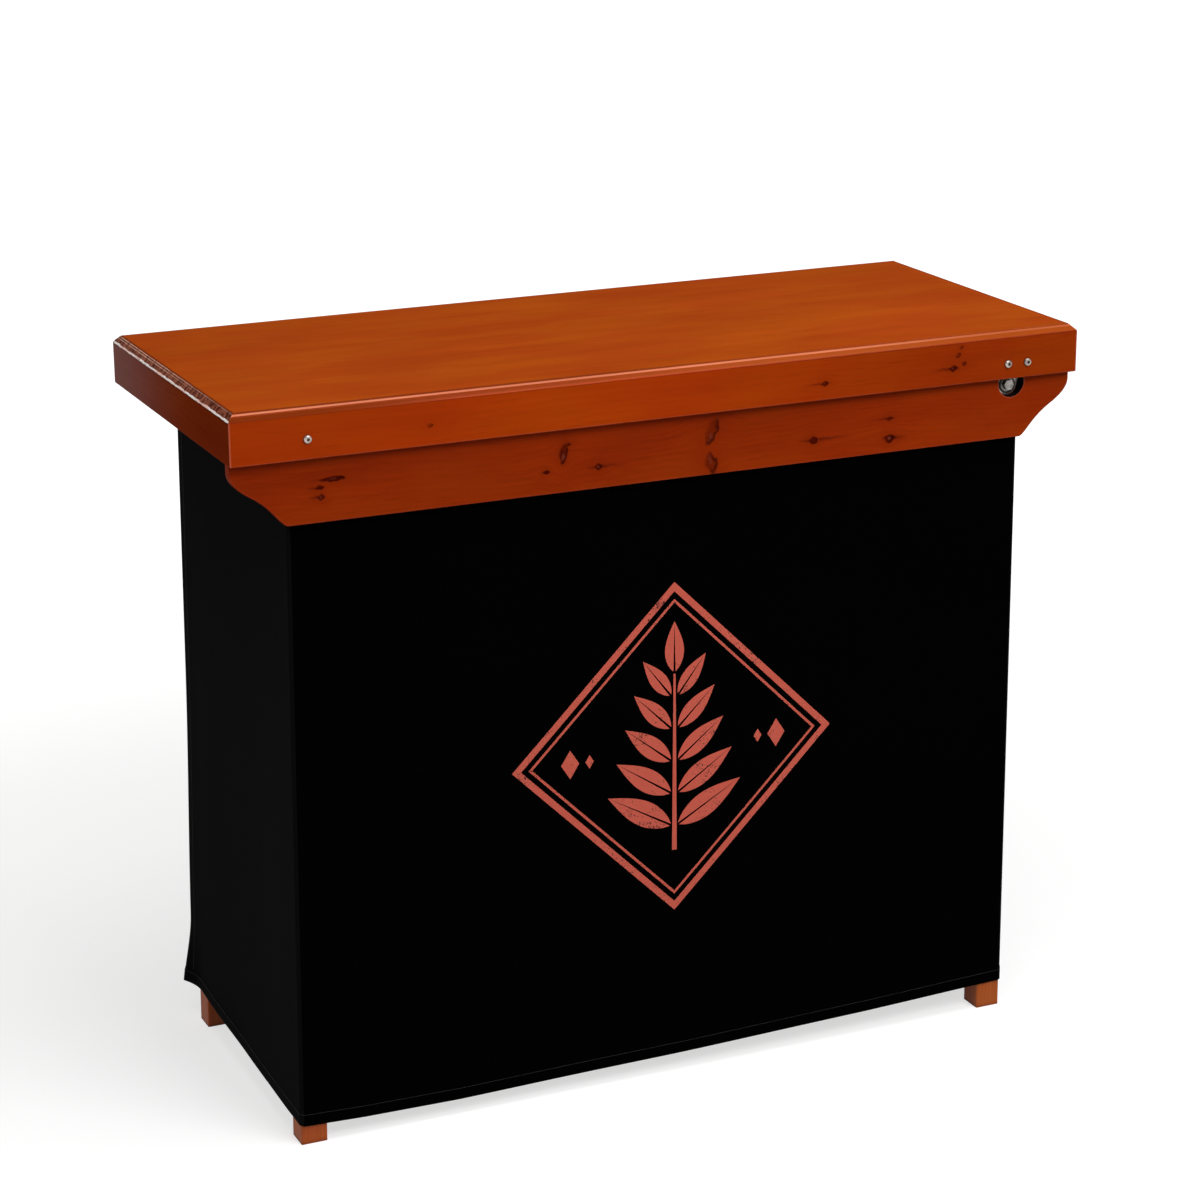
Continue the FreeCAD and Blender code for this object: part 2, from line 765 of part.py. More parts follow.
os.makedirs("parts", exist_ok=True)
for name, shape in pieces.items():
    shape.exportStep("parts/" + name + ".step")
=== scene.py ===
import json
import math

import bmesh
import bpy
from mathutils import Matrix, Vector


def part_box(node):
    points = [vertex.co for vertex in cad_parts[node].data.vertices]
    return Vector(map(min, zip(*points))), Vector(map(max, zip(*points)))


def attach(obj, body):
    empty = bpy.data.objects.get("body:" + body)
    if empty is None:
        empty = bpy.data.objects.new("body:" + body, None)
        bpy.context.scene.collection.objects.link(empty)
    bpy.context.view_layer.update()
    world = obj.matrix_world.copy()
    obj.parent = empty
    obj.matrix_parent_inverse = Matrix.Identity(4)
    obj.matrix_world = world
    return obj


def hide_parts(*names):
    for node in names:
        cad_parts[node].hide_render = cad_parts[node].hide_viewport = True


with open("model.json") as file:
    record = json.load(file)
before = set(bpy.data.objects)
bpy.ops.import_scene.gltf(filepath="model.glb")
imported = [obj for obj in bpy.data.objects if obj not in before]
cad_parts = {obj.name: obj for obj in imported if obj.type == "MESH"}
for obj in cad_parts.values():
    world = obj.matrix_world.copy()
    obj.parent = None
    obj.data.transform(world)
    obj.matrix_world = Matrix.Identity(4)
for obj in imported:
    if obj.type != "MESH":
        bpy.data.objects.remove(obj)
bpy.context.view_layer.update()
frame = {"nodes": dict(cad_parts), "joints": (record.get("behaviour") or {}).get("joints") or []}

# A portable folding bar: lacquered pine counter on two folding leg frames, with a black cloth skirt.
# Metres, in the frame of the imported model: X along the counter, guests at -Y, Z up from the floor.

nodes = frame["nodes"]
MM = 0.001
ROUNDING = 1e-6

# Camera, fitted to a square picture of this many pixels
PICTURE_SIDE = 1200
FOCAL_PIXELS = 3195.9
MIDDLE_PIXELS = (599.9, 586.0)
VIEW_AZIMUTH = -24.168
VIEW_ELEVATION = 16.978
VIEW_ROLL = -0.321
VIEW_DISTANCE = 4.4108
VIEW_TARGET = Vector((0.0024, 0.0, 0.638))
SENSOR_MM = 36.0

# Studio
FLOOR_RADIUS = 14.0
FLOOR_PARTS = 96
FLOOR_TONE = 0.5
FLOOR_LIFT = 0.62
FLOOR_WHITE_RUN = (0.8, 3.2)
BACKDROP_RISE = (0.3, 0.05)
AMBIENT = 0.22
AMBIENT_TINT = (1.0, 0.98, 0.96)

# Softboxes: name, place, what each is aimed at, width, height, watts
SOFTBOXES = [
    ("front_softbox", (1.0, -2.8, 3.0), (0.0, 0.0, 0.7), 2.4, 1.6, 84),
    ("overhead_softbox", (0.2, -0.7, 3.4), (0.0, 0.0, 0.9), 3.0, 1.4, 52),
    ("left_softbox", (-3.2, -0.3, 1.5), (-0.6, 0.0, 0.6), 1.6, 1.6, 15),
]

# Cloth skirt, cut as one U-shaped sheet
SHEET_THICKNESS = 0.8 * MM
CORNER_RADIUS = 4.0 * MM
HEM_DEPTH = 20.0 * MM
HEM_STEP = 0.7 * MM
FOLD_THICKNESS = 0.6 * MM
HEM_STEP_RUN = 1.5 * MM
FLARE_RUN = 42.0 * MM
FLARE_LEAST = 0.8 * MM
FLARE_OUT = 15.0 * MM
FLARE_HEIGHT = 150.0 * MM
FRONT_BULGE = 2.2 * MM
SIDE_BULGE = 1.6 * MM
SIDE_HELD_AT = 0.2
BACK_EDGE_DRAWN_IN = 15.0 * MM
DRAWN_IN_FROM = 0.1
CORNER_RISE = 48.0 * MM
FRONT_TAB_RISE = 13.0 * MM
FRONT_TAB_WIDTH = 40.0 * MM
LOOSE_CORNER = 9.0 * MM
LOOSE_CORNER_RUN = (-0.15, -0.2)
LOOSE_CORNER_LIFT = 12.0 * MM
LEG_GAP = 0.6 * MM
HEM_BACK_RISES = {-1: 22.0 * MM, 1: 12.0 * MM}
FRONT_HEM_STATIONS = [
    (-0.53, 28.5 * MM),
    (-0.42, 24.2 * MM),
    (-0.29, 22.3 * MM),
    (0.02, 26.4 * MM),
    (0.3, 32.3 * MM),
    (0.53, 39.5 * MM),
]

# Heights between which the cloth goes from taut to loose, or its back edge from free to drawn in
FRONT_LOOSE = (0.84, 0.49)
SIDE_LOOSE = (0.86, 0.56)
DRAWN_IN_RISE = (0.12, 0.52)
MEASURED_AT = 0.4

# Shallow folds of the hanging cloth: turns along and up, phases, and their shares of the bulge
SLOW_FOLD = (8.5, 1.7)
QUICK_FOLD = (19.0, -3.1)
QUICK_FOLD_PHASE = 2.3
QUICK_FOLD_SHARE = 0.35
FRONT_FOLD_PHASE = 0.4
FRONT_FOLD_SHARE = 0.45
SIDE_FOLD_PACE = 2.0
SIDE_FOLD_PHASE = 1.3
SIDE_FOLD_SHARE = 0.4

# How finely the sheet is divided
FRONT_PARTS = 110
SIDE_PARTS = 40
BACK_STRIP_PARTS = 8
FRONT_STRIP_PARTS = 3
CORNER_PARTS = 6
DROP_PARTS = 72
FLAP_PARTS = 8
FOLD_PARTS = 3
BACK_EDGE_PARTS = 60
HEM_ROW_SHARES = [0.0, 0.008, 0.0165, 0.0195, 0.0205, 0.0215, 0.0225, 0.0235, 0.0265, 0.034]
FIRST_ROW_SHARE = 0.045

# Stitches
STITCH_PITCH = 4.0 * MM
STITCH_LENGTH = 2.7 * MM
THREAD_RADIUS = 0.28 * MM
STITCH_LINE = 16.0 * MM
STITCH_END = 4.0 * MM
STITCH_PARTS = 90
THREAD_STANDS_SHARE = 0.3
BEAD = {"Segments": 6, "Rings": 4, "Radius": 1.0}

# The turned-in layer of the hem
LAYER_GAP = 0.05 * MM
FOLD_INSET = 0.3 * MM
FOLD_END = 2.0 * MM
FOLD_TOP = 1.0 * MM
FOLD_MAP_STEP = 0.01

# Bands down the lip round the counter, in millimetres below its top: from, to, soft border
LIP_FACE = (-1.0, 7.4, 0.6)
LIP_HIGHLIGHT = (0.1, 2.8, 0.8)
LIP_ARRIS = (5.4, 7.6, 0.8)
LIP_SHADED = (3.6, 8.6, 0.8)
LIP_FOOT = (7.8, 10.0, 0.7)
TORN_FACE = (-1.0, 8.0, 0.5)
TORN_HIGHLIGHT_LINE = (-1.0, 0.7, 0.3)
TORN_SECOND_HIGHLIGHT = (1.8, 2.9, 0.4)
TORN_FOOT = (9.0, 11.5, 1.0)

# Noise of the torn fibres and of the painted highlights: scale along each axis, detail, and roughness where
# it isn't the usual one
LIP_HIGHLIGHT_NOISE = ((7.0, 60.0, 60.0), 4.0)
FIBRE_NOISE = ((90.0, 230.0, 90.0), 4.0, 0.65)
HIGHLIGHT_GAP_NOISE = ((20.0, 70.0, 20.0), 4.0)
HIGHLIGHT_TINT_NOISE = ((8.0, 17.0, 8.0), 2.0)
BROKEN_NOISE = ((20.0, 42.0, 20.0), 4.0)
FIBRE_RANGE = (0.38, 0.62)
HIGHLIGHT_GAP_RANGE = (0.36, 0.52)
HIGHLIGHT_TINT_RANGE = (0.46, 0.62)
BROKEN_RANGE = (0.24, 0.4)

# The ragged painted highlight below a torn lip: how far it wanders, how often, and its two borders
RAGGED_DEPTH = 3.4 * MM
RAGGED_PACES = (46.0, 90.0)
RAGGED_TOP = (8.0 * MM, 8.7 * MM)
RAGGED_FOOT = (11.0 * MM, 10.4 * MM)

# Where a finish, a painted highlight or a painted shade changes along its board, from and to
LEFT_TO_RIGHT_RUN = (-0.05, 0.42)
LIP_SOFT_RUN = (-0.25, 0.2)
LIP_FADE_RUN = (0.2, 0.5)
LIP_SHADED_RUN = (-0.25, -0.5)
PANEL_SHADE_RUN = (-0.2, 0.45)
TORN_RUN = (-0.2, 0.1)
LACQUER_RUN = (-0.2, 0.27)

# Small places on the boards and the fittings
PANEL_SHADE_WIDTH = 3.0 * MM
PANEL_SHADE_BORDER = 2.0 * MM
HOLE_RISE = 4.5 * MM
HOLE_ROOM = 9.0 * MM
HOLE_BORDER = 0.5 * MM
HOLE_LIP = (0.2 * MM, 1.2 * MM)
LIT_WASHER = (9.0 * MM, 10.2 * MM)
WOOD_WEAR = 3.4 * MM
WOOD_SHADE_REACH = 9.0 * MM
STEEL_WEAR = 0.5 * MM
STEEL_SHADE_REACH = 3.5 * MM
THREAD_PITCH = 1.1 * MM
HOOK_ROW = 1.4 * MM
HOOK_PITCH = 1.8 * MM

# Relief of each finish: strength and depth
GRAIN_RELIEF = (0.35, 0.15 * MM)
WEAVE_RELIEF = (0.3, 0.12 * MM)
STEEL_RELIEF = (0.15, 0.03 * MM)
HOOK_RELIEF = (0.6, 0.4 * MM)
TWIST_RELIEF = (0.4, 0.1 * MM)
INK_RELIEF = (0.25, 0.1 * MM)

# Roughness of each finish: how much its pattern adds, and what it has without
LACQUER_ROUGHNESS = (0.12, 0.3)
CLOTH_ROUGHNESS = (0.12, 0.78)
STEEL_ROUGHNESS = (0.2, 0.3)
TAPE_ROUGHNESS = (0.2, 0.6)
THREAD_ROUGHNESS = (0.2, 0.45)
INK_ROUGHNESS = (0.15, 0.7)

# Small noise of the finishes: scale, detail, and roughness where it isn't the usual one
PEEL_NOISE = (180.0, 2.0)
FLUFF_NOISE = (900.0, 2.0)
TWIST_NOISE = (2600.0, 2.0)
SPECK_NOISE = (420.0, 4.0, 0.7)
PATCH_NOISE = (26.0, 4.0, 0.6)
SCUFF_NOISE = ((60.0, 60.0, 300.0), 3.0)
PEEL_SHARE = 0.5
PATCH_SHARE = 0.55
SCUFF_SHARE = 0.2
INK_LOST_RANGE = (1.0, 1.06)
INK_LOST_DEPTH = -0.8
WOOD_SHADE_RANGE = (0.85, 0.4)
STEEL_LIT_RANGE = (0.42, 0.85)

# Knots on the boards, in millimetres: middle along and up, half length, half height, tail rightwards,
# and then shares: how dark it is filled, how pale its speck, how far up the speck sits, how far it leans
APRON_KNOTS = [
    (-464, 902, 17, 3.4, -40, 1.0, 0.35, 0.0, 0.0),
    (-482, 892.6, 6, 2.8, -24, 0.9, 0.0, 0.0, 0.0),
    (-480, 880.8, 5, 4.6, -20, 0.8, 0.4, 0.0, 0.0),
    (-153, 899, 5.5, 12, -9, 0.75, 0.6, -0.3, 0.1),
    (-149, 910, 6, 3, 12, 0.5, 0.0, 0.0, 0.4),
    (-176.5, 877, 4.4, 3.4, -12, 1.0, 0.0, 0.0, 0.0),
    (-105, 876.3, 5.4, 4.6, 50, 0.95, 0.5, 0.1, 0.0),
    (57.5, 906, 9, 16, 0, 0.45, 0.4, -0.45, 0.28),
    (56.5, 863, 9, 14, 0, 0.55, 0.35, 0.4, -0.22),
    (206.5, 877.7, 6.4, 5.4, 74, 1.0, 0.0, 0.0, 0.0),
    (321, 867.4, 8.6, 6, 36, 1.0, 1.0, 0.0, 0.0),
    (320.5, 894.7, 6, 3, -34, 0.8, 0.0, 0.0, 0.0),
]
SKIRT_KNOTS = [
    (214, 956.3, 5, 3.4, -36, 0.8, 0.0, 0.0, 0.0),
    (407.7, 957, 6.4, 4.2, -40, 0.95, 0.25, 0.0, 0.2),
    (415, 974.5, 3.4, 3.6, 0, 0.55, 0.0, 0.0, 0.4),
    (420, 985, 3, 2.4, 0, 0.45, 0.0, 0.0, 0.0),
    (424.5, 962.3, 4.2, 2.8, 0, 0.7, 0.0, 0.0, 0.2),
    (-340, 960, 4.4, 3, 0, 0.4, 0.0, 0.0, 0.0),
]


# Short calls for objects, meshes and node trees

def put(name, data):
    """A new object in the scene."""
    thing = bpy.data.objects.new(name, data)
    bpy.context.scene.collection.objects.link(thing)
    return thing


def finished_mesh(name, work):
    mesh = bpy.data.meshes.new(name)
    work.to_mesh(mesh)
    work.free()
    return mesh


def empty_tree(owner):
    """The node tree of a material or a world, with nothing in it."""
    owner.use_nodes = True
    owner.node_tree.nodes.clear()
    return owner.node_tree


def feed(tree, node, sockets):
    """Give a node's inputs their values or links."""
    for key, value in sockets.items():
        if isinstance(value, bpy.types.NodeSocket):
            tree.links.new(value, node.inputs[key])
        else:
            node.inputs[key].default_value = value


def add(tree, kind, sockets=None, **settings):
    """Add one node, with its settings and with values or links for its inputs."""
    node = tree.nodes.new(kind)
    for name, value in settings.items():
        setattr(node, name, value)
    feed(tree, node, sockets or {})
    return node


def calc(tree, operation, *values):
    return add(tree, "ShaderNodeMath", dict(enumerate(values)), operation=operation).outputs[0]


def times(tree, first, second):
    return calc(tree, "MULTIPLY", first, second)


def add_share(tree, value, share, base):
    """A base value plus a share of another."""
    return calc(tree, "MULTIPLY_ADD", value, share, base)


def sum_of_squares(tree, first, second):
    return add_share(tree, first, first, times(tree, second, second))


def vector_calc(tree, operation, *values):
    return add(tree, "ShaderNodeVectorMath", dict(enumerate(values)), operation=operation).outputs[0]


def step_up(tree, value, low, high):
    """A smooth rise from 0 at low to 1 at high."""
    sockets = {"Value": value, "From Min": low, "From Max": high}
    return add(tree, "ShaderNodeMapRange", sockets, interpolation_type="SMOOTHSTEP").outputs[0]


def mix_colour(tree, share, first, second, blend="MIX"):
    node = add(tree, "ShaderNodeMix", {0: share, 6: first, 7: second}, data_type="RGBA", blend_type=blend)
    return node.outputs[2]


def mix_value(tree, share, first, second):
    return add(tree, "ShaderNodeMix", {0: share, 2: first, 3: second}, data_type="FLOAT").outputs[0]


def split(tree, vector):
    return add(tree, "ShaderNodeSeparateXYZ", {0: vector}).outputs


def object_place(tree):
    return add(tree, "ShaderNodeTexCoord").outputs["Object"]


def cloudy(tree, vector, scale, detail=3.0, roughness=0.5):
    """Soft noise from 0 to 1."""
    sockets = {"Vector": vector, "Scale": scale, "Detail": detail, "Roughness": roughness}
    return add(tree, "ShaderNodeTexNoise", sockets).outputs["Fac"]


def streaky(tree, vector, scales, detail, roughness=0.5):
    """Soft noise from 0 to 1 that has a scale of its own along each axis."""
    return cloudy(tree, vector_calc(tree, "MULTIPLY", vector, scales), 1.0, detail, roughness)


def colour(red, green, blue):
    return (red, green, blue, 1.0)


def grey(level):
    return colour(level, level, level)


SOCKET_KINDS = {
    "vector": "NodeSocketVector",
    "value": "NodeSocketFloat",
    "colour": "NodeSocketColor",
    "mesh": "NodeSocketGeometry",
    "material": "NodeSocketMaterial",
}


def new_group(name, inputs, outputs, family="ShaderNodeTree"):
    """An empty group with named inputs and outputs."""
    tree = bpy.data.node_groups.new(name, family)
    for way, sockets in (("INPUT", inputs), ("OUTPUT", outputs)):
        for socket, kind in sockets.items():
            tree.interface.new_socket(name=socket, in_out=way, socket_type=SOCKET_KINDS[kind])
    start = tree.nodes.new("NodeGroupInput").outputs
    finish = tree.nodes.new("NodeGroupOutput")
    return tree, start, finish


def place_group(tree, group, sockets):
    node = tree.nodes.new("ShaderNodeGroup")
    node.node_tree = group
    feed(tree, node, sockets)
    return node.outputs


# Shared effects

STAIN_REDDER = colour(0.98, 0.9, 1.0)
STAIN_YELLOWER = colour(1.02, 1.12, 0.95)
SEED_SHIFT = (0.371, 0.613, 0.457)
BOW_DEPTH = 0.11
LATE_WOOD_FROM = 0.25
LATE_WOOD_PEAK = 0.93
LATE_WOOD_MEAN = 0.3
LATE_WOOD_SINKS = -0.4
PORE_RANGE = (0.56, 0.72)
PORE_DARKENS = 0.22
PORE_SINKS = -0.6
HUE_RANGE = (0.36, 0.64)

# Noise in the grain: scale along each axis, detail, and roughness where it isn't the usual one
GRAIN_NOISE = {
    "sway": ((1.4, 5.0, 5.0), 2.0),
    "ripple": ((6.0, 26.0, 26.0), 2.0),
    "streak": ((3.0, 140.0, 140.0), 5.0, 0.6),
    "patch": ((3.2, 9.0, 9.0), 3.0),
    "pore": ((28.0, 1100.0, 1100.0), 2.0),
    "smear": ((4.5, 44.0, 44.0), 3.0),
    "hue": ((5.0, 16.0, 16.0), 2.0),
}
FIGURE_SHARES = {"streak": 0.55, "smear": 0.8, "patch": 1.0}


def make_pine_grain():
    """Growth rings, streaks, pores and stain patches of a pine board whose grain runs along X."""
    inputs = {
        "Vector": "vector", "Light": "colour", "Dark": "colour", "Contrast": "value",
        "Ring Spacing": "value", "Ring Share": "value", "Pith Depth": "value", "Seed": "value",
    }
    outputs = {"Colour": "colour", "Figure": "value", "Height": "value"}
    tree, start, finish = new_group("pine_grain", inputs, outputs)
    shift = vector_calc(tree, "SCALE", SEED_SHIFT)
    tree.links.new(start["Seed"], shift.node.inputs["Scale"])
    place = vector_calc(tree, "ADD", start["Vector"], shift)
    noise = {name: streaky(tree, place, *values) for name, values in GRAIN_NOISE.items()}
    axes = split(tree, start["Vector"])
    bow = times(tree, calc(tree, "SUBTRACT", noise["sway"], 0.5), BOW_DEPTH)
    rise = calc(tree, "ADD", calc(tree, "ADD", axes[2], bow), start["Pith Depth"])
    across = calc(tree, "ADD", axes[1], start["Pith Depth"])
    distance = calc(tree, "SQRT", sum_of_squares(tree, rise, across))
    years = calc(tree, "ADD", calc(tree, "DIVIDE", distance, start["Ring Spacing"]), noise["ripple"])
    year = calc(tree, "FRACT", years)
    growing = step_up(tree, year, LATE_WOOD_FROM, LATE_WOOD_PEAK)
    late = times(tree, growing, step_up(tree, year, 1.0, LATE_WOOD_PEAK))
    pore = step_up(tree, noise["pore"], *PORE_RANGE)
    figure = times(tree, calc(tree, "SUBTRACT", late, LATE_WOOD_MEAN), start["Ring Share"])
    for name, share in FIGURE_SHARES.items():
        figure = add_share(tree, calc(tree, "SUBTRACT", noise[name], 0.5), share, figure)
    shade = add_share(tree, figure, start["Contrast"], 0.5)
    shade.node.use_clamp = True
    tint = mix_colour(tree, step_up(tree, noise["hue"], *HUE_RANGE), STAIN_REDDER, STAIN_YELLOWER)
    stain = mix_colour(tree, shade, start["Light"], start["Dark"])
    stained = mix_colour(tree, 1.0, stain, tint, "MULTIPLY")
    finish_colour = mix_colour(tree, times(tree, pore, PORE_DARKENS), stained, start["Dark"], "MULTIPLY")
    height = calc(tree, "ADD", times(tree, late, LATE_WOOD_SINKS), times(tree, pore, PORE_SINKS))
    feed(tree, finish, {"Colour": finish_colour, "Figure": shade, "Height": height})
    return tree


KNOT_MASKS = ("Core", "Rim", "Halo", "Eye", "Streak", "Bend")
KNOT_ROUNDNESS = 1.5
NO_TAIL = 1e6
KNOT_NOISE = {"Scale": 190.0, "Detail": 3.0}
KNOT_CORE_EDGE = (1.25, 0.6)
KNOT_RIM_INNER = (0.5, 0.85)
KNOT_RIM_OUTER = (1.25, 0.9)
KNOT_SHADE_LEAN = -0.4
KNOT_SHADE_RUN = (-0.9, 0.6)
KNOT_HALO_FALL = -0.16
KNOT_EYE_EDGE = (0.2, 0.02)
TAIL_BEHIND = -2.5
TAIL_START = (0.0, 0.06)
TAIL_END = (1.0, 0.05)
TAIL_THINNESS = -6.0
BEND_FALL = -0.1
BEND_SHARE = -0.75


def make_pine_knot():
    """One knot in a board face: dark core, rim, halo, pale speck, trailing streaks and bent grain."""
    inputs = {
        "Vector": "vector", "Middle": "vector", "Half Length": "value", "Half Height": "value",
        "Tail": "value", "Fill": "value", "Eye": "value", "Eye Up": "value", "Lean": "value",
    }
    tree, start, finish = new_group("pine_knot", inputs, dict.fromkeys(KNOT_MASKS, "value"))
    offset = split(tree, vector_calc(tree, "SUBTRACT", start["Vector"], start["Middle"]))
    noise = {"Vector": start["Vector"], **KNOT_NOISE}
    ragged = add(tree, "ShaderNodeTexNoise", noise).outputs["Color"]
    shove = split(tree, vector_calc(tree, "SUBTRACT", ragged, (0.5, 0.5, 0.5)))
    upright = calc(tree, "SUBTRACT", offset[0], times(tree, offset[2], start["Lean"]))
    along = calc(tree, "ADD", calc(tree, "DIVIDE", upright, start["Half Length"]), shove[0])
    up = calc(tree, "ADD", calc(tree, "DIVIDE", offset[2], start["Half Height"]), shove[2])
    square = sum_of_squares(tree, along, up)
    powers = [calc(tree, "POWER", calc(tree, "ABSOLUTE", way), KNOT_ROUNDNESS) for way in (along, up)]
    reach = calc(tree, "POWER", calc(tree, "ADD", *powers), 1 / KNOT_ROUNDNESS)
    core = times(tree, step_up(tree, reach, *KNOT_CORE_EDGE), start["Fill"])
    ring = times(tree, step_up(tree, reach, *KNOT_RIM_INNER), step_up(tree, reach, *KNOT_RIM_OUTER))
    aside = add_share(tree, up, KNOT_SHADE_LEAN, along)
    shaded_side = step_up(tree, aside, *KNOT_SHADE_RUN)
    halo = calc(tree, "EXPONENT", times(tree, square, KNOT_HALO_FALL))
    speck_up = calc(tree, "SUBTRACT", up, start["Eye Up"])
    speck = sum_of_squares(tree, along, speck_up)
    eye = times(tree, step_up(tree, speck, *KNOT_EYE_EDGE), start["Eye"])
    run = calc(tree, "DIVIDE", offset[0], start["Tail"])
    fades = [
        times(tree, step_up(tree, way, *TAIL_START), step_up(tree, way, *TAIL_END))
        for way in (run, times(tree, run, TAIL_BEHIND))
    ]
    thin = calc(tree, "EXPONENT", times(tree, times(tree, up, up), TAIL_THINNESS))
    pull = calc(tree, "EXPONENT", times(tree, square, BEND_FALL))
    feed(tree, finish, {
        "Core": core,
        "Rim": times(tree, ring, shaded_side),
        "Halo": halo,
        "Eye": eye,
        "Streak": times(tree, calc(tree, "MAXIMUM", *fades), thin),
        "Bend": times(tree, times(tree, pull, offset[2]), BEND_SHARE),
    })
    return tree


SLUB_SCALES = (900.0, 24.0)
SLUB_RISE = 0.7
DYE_NOISE = (5.0, 4.0)


def make_plain_weave():
    """Over-and-under threads of a woven cloth, with slubs and a faint unevenness of the dye."""
    inputs = {"Vector": "vector", "Thread Pitch": "value"}
    outputs = {"Height": "value", "Tone": "value"}
    tree, start, finish = new_group("plain_weave", inputs, outputs)
    turns = calc(tree, "DIVIDE", math.tau, start["Thread Pitch"])
    axes = split(tree, start["Vector"])
    warp = calc(tree, "SINE", times(tree, axes[0], turns))
    weft = calc(tree, "SINE", times(tree, axes[1], turns))
    threads = add_share(tree, times(tree, warp, weft), 0.5, 0.5)
    fine, coarse = SLUB_SCALES
    slub_warp = streaky(tree, start["Vector"], (fine, coarse, 1.0), 2.0)
    slub_weft = streaky(tree, start["Vector"], (coarse, fine, 1.0), 2.0)
    slubs = times(tree, calc(tree, "ADD", slub_warp, slub_weft), 0.5)
    dye = cloudy(tree, start["Vector"], *DYE_NOISE)
    height = add_share(tree, slubs, SLUB_RISE, threads)
    tone = add_share(tree, dye, 0.5, times(tree, slubs, 0.5))
    feed(tree, finish, {"Height": height, "Tone": tone})
    return tree


STEEL_STAIN_NOISE = (120.0, 4.0)
DRAWN_NOISE = ((60.0, 900.0, 2600.0), 2.0)
DRAWN_SHARE = 0.35
TARNISH_RANGE = (0.55, 0.95)


def make_worn_steel():
    """Fine drawing lines, stains and small scratches of plated steel."""
    inputs = {"Vector": "vector", "Light": "colour", "Dark": "colour"}
    outputs = {"Colour": "colour", "Roughness": "value", "Height": "value"}
    tree, start, finish = new_group("worn_steel", inputs, outputs)
    stain = cloudy(tree, start["Vector"], *STEEL_STAIN_NOISE)
    lines = streaky(tree, start["Vector"], *DRAWN_NOISE)
    dulled = add_share(tree, lines, DRAWN_SHARE, stain)
    tarnish = step_up(tree, dulled, *TARNISH_RANGE)
    feed(tree, finish, {
        "Colour": mix_colour(tree, tarnish, start["Light"], start["Dark"]),
        "Roughness": add_share(tree, tarnish, *STEEL_ROUGHNESS),
        "Height": lines,
    })
    return tree


EDGE_RANGE = (0.985, 0.86)
EDGE_NOISE = (70.0, 4.0, 0.6)
EDGE_RUBBED_RANGE = (0.28, 0.52)


def make_worn_edges():
    """A mask of the sharp edges of a piece, rubbed unevenly."""
    inputs = {"Vector": "vector", "Radius": "value"}
    tree, start, finish = new_group("worn_edges", inputs, {"Wear": "value"})
    rounded = add(tree, "ShaderNodeBevel", {"Radius": start["Radius"]}, samples=6).outputs[0]
    flat = tree.nodes.new("ShaderNodeNewGeometry").outputs["Normal"]
    match = vector_calc(tree, "DOT_PRODUCT", rounded, flat).node.outputs["Value"]
    edge = step_up(tree, match, *EDGE_RANGE)
    rubbed = step_up(tree, cloudy(tree, start["Vector"], *EDGE_NOISE), *EDGE_RUBBED_RANGE)
    feed(tree, finish, {"Wear": times(tree, edge, rubbed)})
    return tree


pine_grain = make_pine_grain()
pine_knot = make_pine_knot()
plain_weave = make_plain_weave()
worn_steel = make_worn_steel()
worn_edges = make_worn_edges()


# Materials

def new_material(name):
    """A material with an empty tree, its surface shader and its output."""
    material = bpy.data.materials.new(name)
    tree = empty_tree(material)
    shader = tree.nodes.new("ShaderNodeBsdfPrincipled")
    output = tree.nodes.new("ShaderNodeOutputMaterial")
    tree.links.new(shader.outputs[0], output.inputs[0])
    return material, tree, shader


def raise_surface(tree, shader, height, strength, distance):
    bump = add(tree, "ShaderNodeBump", {"Strength": strength, "Distance": distance, "Height": height})
    feed(tree, shader, {"Normal": bump.outputs[0]})


def reach_from(tree, place, middle):
    """Distance from a line along Y through a point."""
    across, along, up = split(tree, vector_calc(tree, "SUBTRACT", place, tuple(middle)))
    return calc(tree, "SQRT", sum_of_squares(tree, across, up))


def stripe(tree, value, band):
    """1 inside a band that is given in millimetres, fading to 0 over its soft border."""
    low, high, soft = (part * MM for part in band)
    return times(tree, step_up(tree, value, low, low + soft), step_up(tree, value, high, high - soft))


def paint(tree, look, mask, strength, new_colour):
    look["tone"] = mix_colour(tree, times(tree, mask, strength), look["tone"], new_colour)


lip_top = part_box("front_skirt")[1].z
GRAIN_TURNS = {"x": (0, 0, 0), "y": (0, 0, -math.pi / 2), "z": (0, math.pi / 2, 0)}
KNOT_STRENGTHS = {"Halo": 0.6, "Streak": 0.7, "Core": 0.92, "Rim": 0.75, "Eye": 0.85}
KNOT_SINKS = -2.5
# A dark tone for the knots' cores, used too for painted shade in corners and along the panel's edge
KNOT_AND_SHADE_DARK = colour(0.06, 0.003, 0.001)
KNOT_RIM = colour(0.022, 0.0012, 0.0006)
KNOT_EYE = colour(0.19, 0.045, 0.028)
# Tones of the lips: a painted highlight, the chamfer's own tone, a paler tone for a softer painted
# highlight towards the right, and a painted shade
LIP_HIGHLIGHT_TONE = colour(0.66, 0.2, 0.1)
LIP_MIDDLE = colour(0.2, 0.03, 0.005)
LIP_SOFT = colour(0.31, 0.06, 0.008)
LIP_SHADE_TONE = colour(0.17, 0.023, 0.003)
# Painted highlights on the end boards' chamfers: white and warm along the lower arris, paler lines along
# the top
ARRIS_HIGHLIGHT = colour(1.0, 0.92, 0.88)
ARRIS_HIGHLIGHT_WARM = colour(0.9, 0.6, 0.52)
LIP_LINE_HIGHLIGHT = colour(0.74, 0.42, 0.3)
TORN_LIGHT = colour(0.31, 0.1, 0.06)
TORN_DARK = colour(0.07, 0.014, 0.007)
# Painted shade in the apron's sight hole
BORE_SHADE = colour(0.004, 0.003, 0.003)


